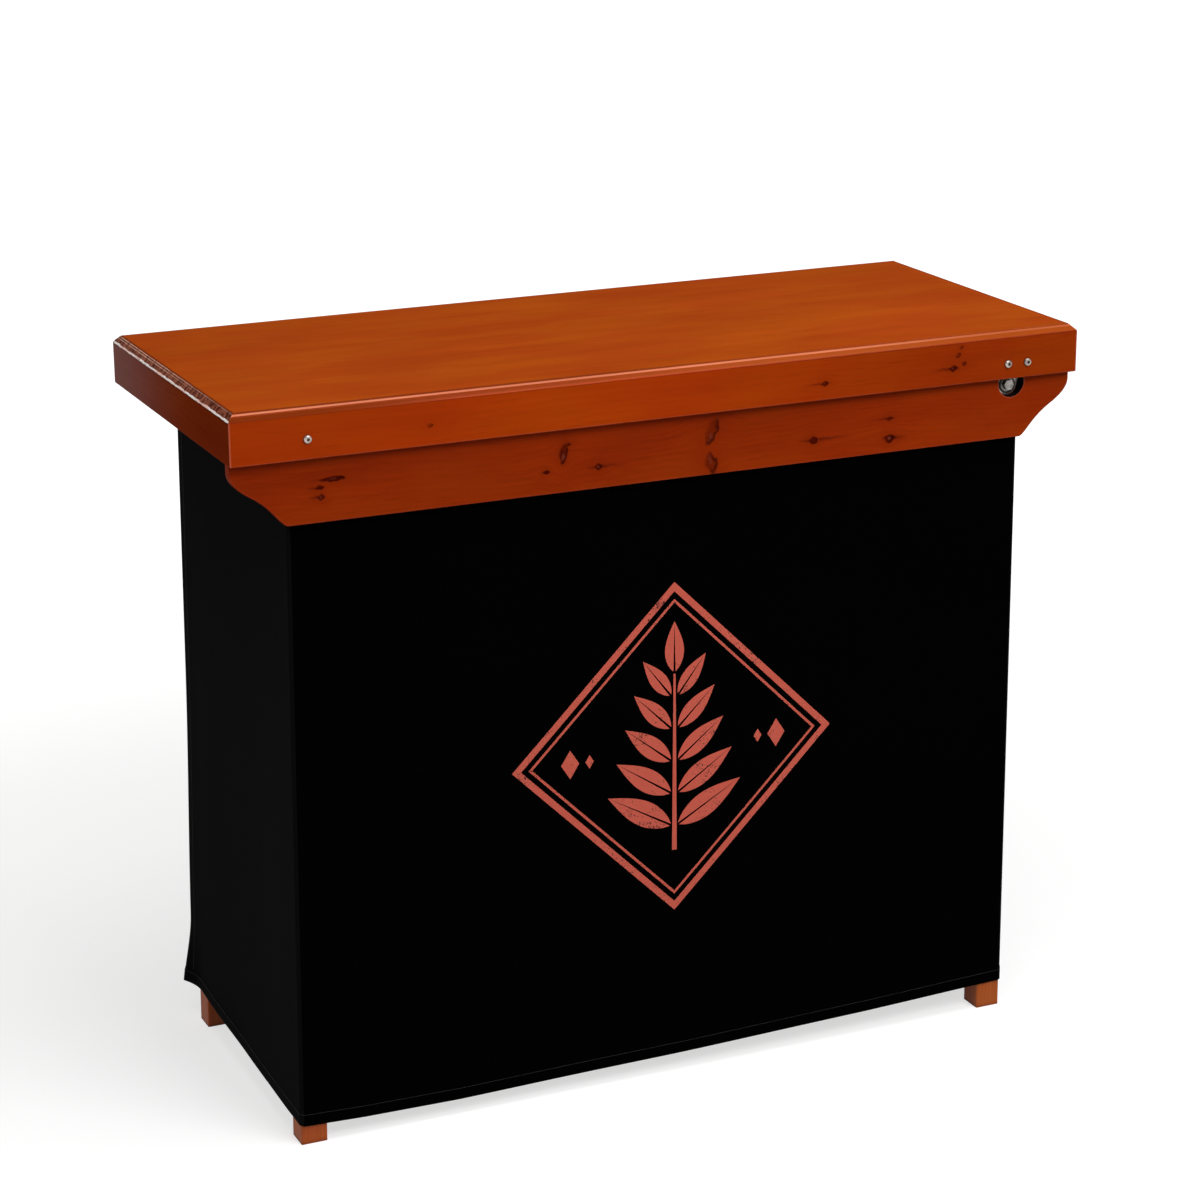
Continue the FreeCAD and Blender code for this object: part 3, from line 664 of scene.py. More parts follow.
def knots_on(tree, place, knots):
    """The strongest mask of every kind over a board's knots, and the sum of their bends."""
    masks = {}
    for along, up, half_length, half_height, tail, fill, eye, eye_up, lean in knots:
        outputs = place_group(tree, pine_knot, {
            "Vector": place,
            "Middle": (along * MM, 0.0, up * MM),
            "Half Length": half_length * MM,
            "Half Height": half_height * MM,
            "Tail": (tail or NO_TAIL) * MM,
            "Fill": fill,
            "Eye": eye,
            "Eye Up": eye_up,
            "Lean": lean,
        })
        for name in KNOT_MASKS:
            join = "ADD" if name == "Bend" else "MAXIMUM"
            masks[name] = calc(tree, join, masks[name], outputs[name]) if name in masks else outputs[name]
    return masks


def lighter_at_left(tree, place, look):
    """Lighter at the left of a board and darker at its right."""
    level = mix_value(tree, step_up(tree, split(tree, place)[0], *LEFT_TO_RIGHT_RUN), 1.14, 0.86)
    look["tone"] = mix_colour(tree, 1.0, look["tone"], level, "MULTIPLY")


def polished_lip(tree, place, look):
    """The chamfer of a long board: a painted highlight along its upper edge and faintly along its lower,
    fading towards the right, where a softer painted highlight spreads over the whole chamfer; a painted
    shade band towards the left; and a darker line at its foot.
    """
    axes = split(tree, place)
    along = axes[0]
    below = calc(tree, "SUBTRACT", lip_top, axes[2])
    uneven = add_share(tree, streaky(tree, place, *LIP_HIGHLIGHT_NOISE), 0.9, 0.4)
    uneven.node.use_clamp = True
    strength = times(tree, uneven, mix_value(tree, step_up(tree, along, *LIP_FADE_RUN), 1.0, 0.35))
    middle = mix_colour(tree, step_up(tree, along, *LIP_SOFT_RUN), LIP_MIDDLE, LIP_SOFT)
    paint(tree, look, stripe(tree, below, LIP_FACE), 0.75, middle)
    paint(tree, look, times(tree, stripe(tree, below, LIP_ARRIS), strength), 0.1, LIP_HIGHLIGHT_TONE)
    paint(tree, look, times(tree, stripe(tree, below, LIP_HIGHLIGHT), strength), 0.9, LIP_HIGHLIGHT_TONE)
    # Painted shade: a darker band down the chamfer towards the left, with less coat
    lip_shade = times(tree, stripe(tree, below, LIP_SHADED), step_up(tree, along, *LIP_SHADED_RUN))
    paint(tree, look, lip_shade, 0.9, LIP_SHADE_TONE)
    look["coat"] = times(tree, look["coat"], calc(tree, "SUBTRACT", 1.0, lip_shade))
    paint(tree, look, stripe(tree, below, LIP_FOOT), 0.3, KNOT_AND_SHADE_DARK)


def ragged_highlight(tree, place, below):
    """A painted highlight line, broken up, with two borders that wander apart."""
    borders = []
    for pace, border in zip(RAGGED_PACES, (RAGGED_TOP, RAGGED_FOOT)):
        wander = streaky(tree, place, (10.0, pace, 10.0), 3.0)
        borders.append(step_up(tree, add_share(tree, wander, RAGGED_DEPTH, below), *border))
    broken = step_up(tree, streaky(tree, place, *BROKEN_NOISE), *BROKEN_RANGE)
    return times(tree, times(tree, *borders), broken)


def torn_chamfer(tree, place, look):
    """The end grain of a chamfer: torn fibres, a ragged painted highlight line below, thin painted
    highlight lines above, and a darker line at its foot.
    """
    axes = split(tree, place)
    below = calc(tree, "SUBTRACT", lip_top, axes[2])
    fibres = streaky(tree, place, *FIBRE_NOISE)
    chamfer = stripe(tree, below, TORN_FACE)
    torn = mix_colour(tree, step_up(tree, fibres, *FIBRE_RANGE), TORN_DARK, TORN_LIGHT)
    look["tone"] = mix_colour(tree, chamfer, look["tone"], torn)
    towards_back = step_up(tree, axes[1], *TORN_RUN)
    second_line = times(tree, stripe(tree, below, TORN_SECOND_HIGHLIGHT), towards_back)
    lines = calc(tree, "MAXIMUM", stripe(tree, below, TORN_HIGHLIGHT_LINE), second_line)
    gaps = step_up(tree, streaky(tree, place, *HIGHLIGHT_GAP_NOISE), *HIGHLIGHT_GAP_RANGE)
    lines = times(tree, lines, mix_value(tree, gaps, 0.25, 1.0))
    paint(tree, look, times(tree, lines, mix_value(tree, towards_back, 0.3, 1.0)), 0.85, LIP_LINE_HIGHLIGHT)
    warmth = step_up(tree, streaky(tree, place, *HIGHLIGHT_TINT_NOISE), *HIGHLIGHT_TINT_RANGE)
    edge = mix_colour(tree, warmth, ARRIS_HIGHLIGHT, ARRIS_HIGHLIGHT_WARM)
    paint(tree, look, ragged_highlight(tree, place, below), 0.97, edge)
    paint(tree, look, stripe(tree, below, TORN_FOOT), 0.5, KNOT_AND_SHADE_DARK)
    rough = times(tree, chamfer, fibres)
    look["height"] = add_share(tree, rough, 5.0, look["height"])
    look["gloss"] = add_share(tree, rough, 0.2, look["gloss"])


def thinning_lacquer(tree, place, look):
    """Lacquer that lies thick at the back of an end board and is rubbed off towards the guests."""
    share = step_up(tree, split(tree, place)[1], *LACQUER_RUN)
    share = times(tree, share, share)
    paint(tree, look, share, 0.22, KNOT_AND_SHADE_DARK)
    look["coat"] = times(tree, share, 0.15)


def panel_edge_shade(tree, place, look):
    """Painted shade where the panel meets the lip, less towards the right of the front and back."""
    axes = split(tree, place)
    sides = []
    for axis, edge in zip(axes[:2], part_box("top_panel")[1]):
        start = edge - PANEL_SHADE_WIDTH
        sides.append(step_up(tree, calc(tree, "ABSOLUTE", axis), start, start + PANEL_SHADE_BORDER))
    ends, fronts = sides
    shade_share = mix_value(tree, step_up(tree, axes[0], *PANEL_SHADE_RUN), 1.0, 0.25)
    paint(tree, look, calc(tree, "MAXIMUM", ends, times(tree, fronts, shade_share)), 0.55, KNOT_AND_SHADE_DARK)


def shaded_bore(tree, place, look):
    """Painted shade: the wall of the apron's sight hole, painted nearly black."""
    low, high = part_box("right_head_washers")
    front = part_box("front_apron")[0].y
    radius = (high.x - low.x) / 2 + HOLE_ROOM
    reach = reach_from(tree, place, (low + high) / 2 + Vector((0.0, 0.0, HOLE_RISE)))
    near = step_up(tree, reach, radius + HOLE_BORDER, radius)
    inside = step_up(tree, split(tree, place)[1], *(front + depth for depth in HOLE_LIP))
    paint(tree, look, times(tree, near, inside), 1.0, BORE_SHADE)


def lacquered_pine(
        name, grain, stain, contrast=0.9, spacing=9 * MM, rings=0.12, pith=0.06, seed=0.0, coat=0.04,
        rubbed=0.75, knots=(), extras=()):
    """Stained pine under satin lacquer, its grain along one axis, with any knots in its face and extras."""
    material, tree, shader = new_material(name)
    place = object_place(tree)
    light, dark = stain
    masks = knots_on(tree, place, knots)
    bent = place
    if masks:
        lift = add(tree, "ShaderNodeCombineXYZ", {2: masks["Bend"]}).outputs[0]
        bent = vector_calc(tree, "ADD", place, lift)
    turned = add(tree, "ShaderNodeMapping", {"Vector": bent, "Rotation": GRAIN_TURNS[grain]}).outputs[0]
    board = place_group(tree, pine_grain, {
        "Vector": turned, "Light": light, "Dark": dark, "Contrast": contrast,
        "Ring Spacing": spacing, "Ring Share": rings, "Pith Depth": pith, "Seed": seed,
    })
    gloss = add_share(tree, board["Figure"], *LACQUER_ROUGHNESS)
    look = {"tone": board["Colour"], "height": board["Height"], "gloss": gloss, "coat": coat}
    wear = place_group(tree, worn_edges, {"Vector": place, "Radius": WOOD_WEAR})["Wear"]
    rubbed_light = colour(*(min(1.0, 1.1 * part + 0.05) for part in light[:3]))
    paint(tree, look, wear, rubbed, rubbed_light)
    # Painted shade: darker wherever ambient occlusion finds corners, recesses and overhangs
    open_sky = add(tree, "ShaderNodeAmbientOcclusion", {"Distance": WOOD_SHADE_REACH}, samples=6).outputs["AO"]
    paint(tree, look, step_up(tree, open_sky, *WOOD_SHADE_RANGE), 0.7, KNOT_AND_SHADE_DARK)
    if masks:
        tones = {"Halo": dark, "Rim": KNOT_RIM, "Eye": KNOT_EYE}
        for mask, strength in KNOT_STRENGTHS.items():
            paint(tree, look, masks[mask], strength, tones.get(mask, KNOT_AND_SHADE_DARK))
        look["height"] = add_share(tree, masks["Core"], KNOT_SINKS, look["height"])
        look["coat"] = add_share(tree, masks["Core"], -coat, coat)
    for extra in extras:
        extra(tree, place, look)
    peel = cloudy(tree, place, *PEEL_NOISE)
    feed(tree, shader, {
        "Base Color": look["tone"],
        "Roughness": look["gloss"],
        "Coat Weight": look["coat"],
        "Coat Roughness": 0.2,
        "Specular IOR Level": 0.0,
    })
    raise_surface(tree, shader, add_share(tree, peel, PEEL_SHARE, look["height"]), *GRAIN_RELIEF)
    return material


def black_cloth(name, dark, light, sheen):
    """Woven black polyester; its threads follow the sheet's own map, which is in metres."""
    material, tree, shader = new_material(name)
    place = add(tree, "ShaderNodeUVMap", uv_map="cloth_map").outputs[0]
    weave = place_group(tree, plain_weave, {"Vector": place, "Thread Pitch": THREAD_PITCH})
    feed(tree, shader, {
        "Base Color": mix_colour(tree, weave["Tone"], dark, light),
        "Roughness": add_share(tree, weave["Tone"], *CLOTH_ROUGHNESS),
        "Specular IOR Level": 0.0,
        "Sheen Weight": sheen,
        "Sheen Roughness": 0.45,
    })
    raise_surface(tree, shader, weave["Height"], *WEAVE_RELIEF)
    return material


def plated_steel(name, light, dark, lit_ring=None):
    """Zinc-plated steel, dulled, with painted shade in its sockets and corners and outside any lit ring."""
    material, tree, shader = new_material(name)
    place = object_place(tree)
    finish = place_group(tree, worn_steel, {"Vector": place, "Light": light, "Dark": dark})
    wear = place_group(tree, worn_edges, {"Vector": place, "Radius": STEEL_WEAR})["Wear"]
    nook = {"Distance": STEEL_SHADE_REACH}
    open_sky = add(tree, "ShaderNodeAmbientOcclusion", nook, samples=8).outputs["AO"]
    unshaded = step_up(tree, open_sky, *STEEL_LIT_RANGE)
    if lit_ring:
        middle, inner, outer = lit_ring
        unshaded = times(tree, unshaded, step_up(tree, reach_from(tree, place, middle), outer, inner))
    bright = mix_colour(tree, times(tree, wear, 0.5), finish["Colour"], light)
    feed(tree, shader, {
        "Base Color": mix_colour(tree, unshaded, STEEL_SHADE, bright),
        "Roughness": finish["Roughness"],
        "Metallic": 1.0,
    })
    raise_surface(tree, shader, finish["Height"], *STEEL_RELIEF)
    return material


def hook_fastener():
    """Black tape set with rows of small plastic hooks."""
    material, tree, shader = new_material("hook_fastener")
    place = object_place(tree)
    axes = split(tree, place)
    rows = calc(tree, "SINE", times(tree, axes[2], math.tau / HOOK_ROW))
    level = calc(tree, "ADD", axes[0], axes[1])
    ticks = calc(tree, "SINE", times(tree, level, math.tau / HOOK_PITCH))
    hooks = add_share(tree, times(tree, rows, ticks), 0.5, 0.5)
    fluff = cloudy(tree, place, *FLUFF_NOISE)
    feed(tree, shader, {
        "Base Color": mix_colour(tree, times(tree, hooks, fluff), TAPE_DARK, TAPE_LIGHT),
        "Roughness": add_share(tree, fluff, *TAPE_ROUGHNESS),
    })
    raise_surface(tree, shader, hooks, *HOOK_RELIEF)
    return material


def sewing_thread():
    """Black twisted thread."""
    material, tree, shader = new_material("sewing_thread")
    place = object_place(tree)
    twist = cloudy(tree, place, *TWIST_NOISE)
    feed(tree, shader, {
        "Base Color": mix_colour(tree, twist, THREAD_DARK, THREAD_LIGHT),
        "Roughness": add_share(tree, twist, *THREAD_ROUGHNESS),
    })
    raise_surface(tree, shader, twist, *TWIST_RELIEF)
    return material


def printed_ink():
    """Terracotta screen ink, worn through to the cloth in specks along the weave."""
    material, tree, shader = new_material("printed_ink")
    place = object_place(tree)
    upright = {"Vector": place, "Rotation": (-math.pi / 2, 0, 0)}
    on_panel = add(tree, "ShaderNodeMapping", upright).outputs[0]
    weave = place_group(tree, plain_weave, {"Vector": on_panel, "Thread Pitch": THREAD_PITCH})
    specks = cloudy(tree, place, *SPECK_NOISE)
    patches = cloudy(tree, place, *PATCH_NOISE)
    scuffs = streaky(tree, place, *SCUFF_NOISE)
    scuffed = add_share(tree, scuffs, SCUFF_SHARE, specks)
    loss = add_share(tree, patches, PATCH_SHARE, scuffed)
    worn = step_up(tree, loss, *INK_LOST_RANGE)
    ink = mix_colour(tree, patches, INK_DARK, INK_LIGHT)
    feed(tree, shader, {
        "Base Color": mix_colour(tree, worn, ink, INK_WORN),
        "Roughness": add_share(tree, worn, *INK_ROUGHNESS),
        "Specular IOR Level": 0.15,
    })
    height = add_share(tree, worn, INK_LOST_DEPTH, weave["Height"])
    raise_surface(tree, shader, height, *INK_RELIEF)
    return material


PINE_TOP = (colour(0.38, 0.063, 0.0055), colour(0.27, 0.037, 0.003))
PINE_SKIRT = (colour(0.38, 0.042, 0.0015), colour(0.25, 0.022, 0.0008))
# The end boards are stained darker than the long boards: painted shade
PINE_END = (colour(0.24, 0.031, 0.0055), colour(0.165, 0.018, 0.0035))
PINE_APRON = (colour(0.33, 0.033, 0.0015), colour(0.21, 0.016, 0.0008))
PINE_LEG = (colour(0.5, 0.105, 0.018), colour(0.34, 0.06, 0.01))

# Painted shade in the steel's sockets and corners, and round a washer outside its lit middle
STEEL_SHADE = colour(0.02, 0.018, 0.016)
STEEL_PLATE = (colour(0.45, 0.38, 0.34), colour(0.22, 0.18, 0.16))
STEEL_BOLT = (colour(0.3, 0.28, 0.26), colour(0.08, 0.073, 0.067))
STEEL_WASHER = (colour(0.24, 0.225, 0.21), colour(0.07, 0.064, 0.058))

# The front panel and the side panels are one cloth: the sides get a lighter tone than the front, a painted
# sheen
CLOTH_FRONT = (grey(0.0005), grey(0.0012))
CLOTH_SIDE = (grey(0.0028), grey(0.005))
CLOTH_INSIDE = (grey(0.006), grey(0.012))
TAPE_DARK, TAPE_LIGHT = grey(0.006), grey(0.03)
THREAD_DARK, THREAD_LIGHT = grey(0.008), grey(0.03)
INK_DARK, INK_LIGHT = colour(0.52, 0.085, 0.055), colour(0.62, 0.12, 0.08)
INK_WORN = colour(0.012, 0.008, 0.008)

wood_finishes = {
    "top_panel": lacquered_pine(
        "top_pine", "x", PINE_TOP, contrast=0.8, spacing=22 * MM, pith=0.09, seed=1.0, coat=0.012,
        extras=[panel_edge_shade]),
    "front_skirt": lacquered_pine(
        "front_pine", "x", PINE_SKIRT, contrast=0.7, seed=2.0, knots=SKIRT_KNOTS,
        extras=[lighter_at_left, polished_lip]),
    "back_skirt": lacquered_pine(
        "back_pine", "x", PINE_SKIRT, contrast=0.7, seed=3.0, extras=[polished_lip]),
    "left_end_skirt": lacquered_pine(
        "left_end_pine", "y", PINE_END, seed=4.0, extras=[thinning_lacquer, torn_chamfer]),
    "right_end_skirt": lacquered_pine(
        "right_end_pine", "y", PINE_END, seed=5.0, extras=[thinning_lacquer, torn_chamfer]),
    "front_apron": lacquered_pine(
        "apron_pine", "x", PINE_APRON, contrast=0.9, seed=6.0, knots=APRON_KNOTS, extras=[shaded_bore]),
    "back_rail": lacquered_pine("back_rail_pine", "x", PINE_APRON, seed=7.0),
    "corner_blocks": lacquered_pine("block_pine", "z", PINE_APRON, seed=8.0),
}
pale = {"spacing": 6 * MM, "rings": 0.2, "rubbed": 0.3}
for end, seed in (("left", 10.0), ("right", 20.0)):
    leg_finish = lacquered_pine(
        end + "_leg_pine", "z", PINE_LEG, pith=0.04, seed=seed, coat=0.25, **pale)
    rail_finish = lacquered_pine(
        end + "_rail_pine", "y", PINE_LEG, pith=0.03, seed=seed + 1, coat=0.2, **pale)
    batten_finish = lacquered_pine(
        end + "_batten_pine", "y", PINE_APRON, spacing=5 * MM, seed=seed + 2)
    for place in ("front_leg", "back_leg"):
        wood_finishes[end + "_" + place] = leg_finish
    for place in ("upper_rail", "lower_rail"):
        wood_finishes[end + "_" + place] = rail_finish
    wood_finishes[end + "_cloth_batten"] = batten_finish

steel_finish = plated_steel("plated_steel", *STEEL_PLATE)
bolt_finish = plated_steel("dull_bolt_steel", *STEEL_BOLT)
washer_middle = sum(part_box("right_head_washers"), Vector()) / 2
washer_finish = plated_steel("shaded_washer_steel", *STEEL_WASHER, lit_ring=(washer_middle, *LIT_WASHER))
tape_finish = hook_fastener()
front_cloth_finish = black_cloth("front_cloth_black", *CLOTH_FRONT, 0.005)
side_cloth_finish = black_cloth("side_cloth_black", *CLOTH_SIDE, 0.03)
inside_cloth_finish = black_cloth("inside_cloth_black", *CLOTH_INSIDE, 0.06)
thread_finish = sewing_thread()
ink_finish = printed_ink()


own_finishes = {**wood_finishes, "right_pivot_bolts": bolt_finish, "right_head_washers": washer_finish}
cloth_finishes = {"tape": tape_finish, "cloth": side_cloth_finish}
for name, node in nodes.items():
    usual = cloth_finishes.get(name.split("_")[-1], steel_finish)
    for slot in node.material_slots:
        slot.material = own_finishes.get(name, usual)


# Cloth skirt

def smooth_rise(value, low, high):
    share = min(max((value - low) / (high - low), 0.0), 1.0)
    return share * share * (3 - 2 * share)


def between(value, stations):
    """A height on straight runs between listed stations."""
    for (x0, z0), (x1, z1) in zip(stations, stations[1:]):
        if value <= x1:
            return z0 + (z1 - z0) * max(value - x0, 0.0) / (x1 - x0)
    return stations[-1][1]


class ClothEnd:
    """Where one end of the cloth runs: outside its legs, which lean a little."""

    def __init__(self, name, sign):
        fold = next(joint for joint in frame["joints"] if joint["name"] == name + "_fold")
        leg_low, leg_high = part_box(name + "_front_leg")
        cloth_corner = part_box(name + "_cloth")[1]
        self.sign = sign
        self.pivot = Vector(fold["pos_m"])
        self.lean = math.radians(fold["range_deg"][1] - 90.0)
        self.leg_half = (leg_high.y - leg_low.y) / 2
        self.top = cloth_corner.z
        self.back = cloth_corner.y
        self.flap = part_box(name + "_hook_tape")[1].y

    def face(self, z, out):
        """X of a surface a given distance outside the legs."""
        reach = abs(self.pivot.x) + (self.leg_half + out) / math.cos(self.lean)
        return self.sign * (reach + (self.pivot.z - z) * math.tan(self.lean))


left_end = ClothEnd("left", -1)
right_end = ClothEnd("right", 1)
cloth_low, cloth_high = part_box("front_cloth")
front_middle = (cloth_low.y + cloth_high.y) / 2
front_top = cloth_high.z
middle_out = LEG_GAP + (cloth_high.y - cloth_low.y) / 2
hem_ends = {-1: FRONT_HEM_STATIONS[0][1], 1: FRONT_HEM_STATIONS[-1][1]}


def fold_waves(along, up, phase):
    """Slow, shallow folds of a taut cloth, from -1 to 1."""
    slow = math.sin(SLOW_FOLD[0] * along + SLOW_FOLD[1] * up + phase)
    quick = math.sin(QUICK_FOLD[0] * along + QUICK_FOLD[1] * up + QUICK_FOLD_PHASE * phase)
    return slow + (quick - slow) * QUICK_FOLD_SHARE


def front_out(x, z):
    """How far the front panel stands forward of its plane."""
    half = abs(left_end.pivot.x)
    held = max(0.0, 1.0 - (abs(x) / half) ** 4)
    loose = smooth_rise(z, *FRONT_LOOSE)
    fold = 1 - FRONT_FOLD_SHARE + FRONT_FOLD_SHARE * fold_waves(x, z, FRONT_FOLD_PHASE)
    return FRONT_BULGE * held * loose * fold


def side_out(end, y, z):
    """How far a side panel stands out from its legs, with the flare of its free back edge."""
    held = max(0.0, 1.0 - (abs(y) / SIDE_HELD_AT) ** 4)
    loose = smooth_rise(z, *SIDE_LOOSE)
    waves = fold_waves(y * SIDE_FOLD_PACE, z, SIDE_FOLD_PHASE * end.sign)
    swell = SIDE_BULGE * held * loose * (1 - SIDE_FOLD_SHARE + SIDE_FOLD_SHARE * waves)
    run = max(0.0, y - (end.back - FLARE_RUN)) / FLARE_RUN
    drop = smooth_rise(z, FLARE_HEIGHT, hem_ends[end.sign])
    return swell + run * run * (FLARE_LEAST + (FLARE_OUT - FLARE_LEAST) * drop)


def corner_out(end, y, z):
    """How far the right panel's front corner stands loose, above the front panel."""
    if end is left_end:
        return 0.0
    above = smooth_rise(z, front_top, front_top + LOOSE_CORNER_LIFT)
    return LOOSE_CORNER * smooth_rise(y, *LOOSE_CORNER_RUN) * above


def hem_height(end, y):
    """The lower edge of a side panel, rising to its back corner."""
    share = (y - front_middle) / (end.back - front_middle)
    return hem_ends[end.sign] + HEM_BACK_RISES[end.sign] * share


def hem_step(above):
    """The hem is two layers thick, so the sheet steps out over it."""
    return HEM_STEP * smooth_rise(HEM_DEPTH - above, -HEM_STEP_RUN, HEM_STEP_RUN)


class Column:
    """One upright line of the sheet: its place in plan, and how far it is along the sheet."""

    def __init__(self, kind, at, end=None):
        self.kind = kind
        self.at = at
        self.end = end

    def hem(self):
        if self.kind == "front":
            return between(self.at, FRONT_HEM_STATIONS)
        if self.kind == "corner":
            return hem_ends[self.end.sign]
        return hem_height(self.end, self.at)

    def point(self, z, out):
        """A point of the sheet at a height, a distance outside its middle surface."""
        if self.kind == "front":
            share = (self.at - left_end.pivot.x) / (right_end.pivot.x - left_end.pivot.x)
            x0 = left_end.face(z, middle_out) + CORNER_RADIUS
            x1 = right_end.face(z, middle_out) - CORNER_RADIUS
            x = x0 + (x1 - x0) * share
            return Vector((x, front_middle - out - front_out(x, z), z))
        corner_y = front_middle + CORNER_RADIUS
        if self.kind == "corner":
            loose_x = self.end.face(z, middle_out + corner_out(self.end, corner_y, z))
            corner_x = loose_x - self.end.sign * CORNER_RADIUS
            radius = CORNER_RADIUS + out
            x = corner_x + self.end.sign * radius * math.sin(self.at)
            return Vector((x, corner_y - radius * math.cos(self.at), z))
        stand_out = side_out(self.end, self.at, z) + corner_out(self.end, self.at, z)
        x = self.end.face(z, middle_out + out + stand_out)
        towards_back = smooth_rise(self.at, DRAWN_IN_FROM, self.end.back)
        drawn_in = BACK_EDGE_DRAWN_IN * towards_back * smooth_rise(z, *DRAWN_IN_RISE)
        return Vector((x, self.at - drawn_in, z))


def spread(low, high, count):
    return [low + (high - low) * index / count for index in range(count + 1)]


def sheet_columns():
    """Every upright line of the sheet, from the left panel's back edge round to the right panel's."""
    left_side = []
    flap = left_end.flap
    corner_y = front_middle + CORNER_RADIUS
    strips = [
        (left_end.back, flap, BACK_STRIP_PARTS),
        (flap, -flap, SIDE_PARTS),
        (-flap, corner_y, FRONT_STRIP_PARTS),
    ]
    for low, high, count in strips:
        left_side += spread(low, high, count)[1 if left_side else 0:]
    columns = [Column("side", y, left_end) for y in left_side]
    turns = spread(0.0, math.pi / 2, CORNER_PARTS)
    columns += [Column("corner", turn, left_end) for turn in reversed(turns[1:-1])]
    columns += [Column("front", x) for x in spread(left_end.pivot.x, right_end.pivot.x, FRONT_PARTS)]
    columns += [Column("corner", turn, right_end) for turn in turns[1:-1]]
    columns += [Column("side", y, right_end) for y in reversed(left_side)]
    return columns


def in_flap(column):
    return column.kind == "side" and abs(column.at) <= column.end.flap + ROUNDING


def column_heights(column):
    """Heights of the sheet's rows on one upright line, closer together at the hem."""
    hem = column.hem()
    shares = HEM_ROW_SHARES + spread(FIRST_ROW_SHARE, 1.0, DROP_PARTS)
    heights = [hem + (front_top - hem) * share for share in shares]
    if in_flap(column):
        heights += spread(front_top, column.end.top, FLAP_PARTS)[1:]
    elif column.kind == "corner" or column.kind == "side" and column.at < 0:
        heights += spread(front_top, front_top + CORNER_RISE, FLAP_PARTS // 2)[1:]
    elif column.kind == "front" and column.at > right_end.pivot.x - FRONT_TAB_WIDTH:
        heights += spread(front_top, front_top + FRONT_TAB_RISE, FLAP_PARTS // 2)[1:]
    return heights


def strip_faces(work, near, far):
    """Smooth faces between two upright lines of vertices."""
    faces = []
    for corners in zip(near, far, far[1:], near[1:]):
        face = work.faces.new(corners)
        face.smooth = True
        faces.append(face)
    return faces


def build_sheet(name, columns):
    """The cloth's middle surface as one grid, with the two side panels carried up to their battens."""
    work = bmesh.new()
    layer = work.loops.layers.uv.new("cloth_map")
    map_of = {}
    grid = []
    along = 0.0
    previous = None
    for column in columns:
        middle = column.point(MEASURED_AT, 0.0)
        along += (middle - previous).length if previous else 0.0
        previous = middle
        line = []
        for z in column_heights(column):
            vertex = work.verts.new(column.point(z, hem_step(z - column.hem())))
            map_of[vertex] = (along, z)
            line.append(vertex)
        grid.append(line)
    for near, far, column, following in zip(grid, grid[1:], columns, columns[1:]):
        front = column.kind == "front" and following.kind == "front"
        for face in strip_faces(work, near, far):
            face.material_index = 0 if front else 1
            for loop in face.loops:
                loop[layer].uv = map_of[loop.vert]
    work.normal_update()
    area = sum(face.calc_area() for face in work.faces)
    return finished_mesh(name, work), along, area


def add_piece(name, mesh, materials):
    """A finished piece at the origin."""
    piece = put(name, mesh)
    for material in materials:
        mesh.materials.append(material)
    return piece


def thicken(piece, thickness, offset, inside_step=0):
    """Make a sheet solid; its inner side may take a later material slot."""
    solid = piece.modifiers.new("thickness", "SOLIDIFY")
    solid.thickness = thickness
    solid.offset = offset
    solid.use_even_offset = True
    solid.material_offset = inside_step


columns = sheet_columns()
sheet_mesh, sheet_width, sheet_area = build_sheet("cloth_skirt", columns)
sheet_finishes = [front_cloth_finish, side_cloth_finish, inside_cloth_finish]
cloth_skirt = add_piece("cloth_skirt", sheet_mesh, sheet_finishes)
thicken(cloth_skirt, SHEET_THICKNESS, 0.0, inside_step=1)


def hem_fold_mesh():
    """The turned-in layer of the hem and of the two free back edges, inside the sheet."""
    work = bmesh.new()
    layer = work.loops.layers.uv.new("cloth_map")
    inside = -(SHEET_THICKNESS + FOLD_THICKNESS) / 2 - LAYER_GAP

    def strip(lines):
        verts = [[work.verts.new(point) for point in line] for line in lines]
        for number, (near, far) in enumerate(zip(verts, verts[1:])):
            for face in strip_faces(work, near, far):
                for loop in face.loops:
                    loop[layer].uv = (number * FOLD_MAP_STEP, loop.vert.co.z)

    lower = []
    for column in columns:
        rows = spread(FOLD_INSET, HEM_DEPTH - FOLD_END, FOLD_PARTS)
        lower.append([column.point(column.hem() + above, inside + HEM_STEP) for above in rows])
    strip(lower)
    for end in (left_end, right_end):
        places = spread(end.back - FOLD_INSET, end.back - HEM_DEPTH, FOLD_PARTS)
        edge = [Column("side", y, end) for y in places]
        lines = []
        for column in edge if end is left_end else reversed(edge):
            heights = spread(column.hem() + HEM_DEPTH, front_top - FOLD_TOP, BACK_EDGE_PARTS)
            lines.append([column.point(z, inside) for z in heights])
        strip(lines)
    work.normal_update()
    return finished_mesh("hem_fold", work)


hem_fold = add_piece("hem_fold", hem_fold_mesh(), [inside_cloth_finish])
thicken(hem_fold, FOLD_THICKNESS, 0.0)


# Stitches along the hem and the free back edges

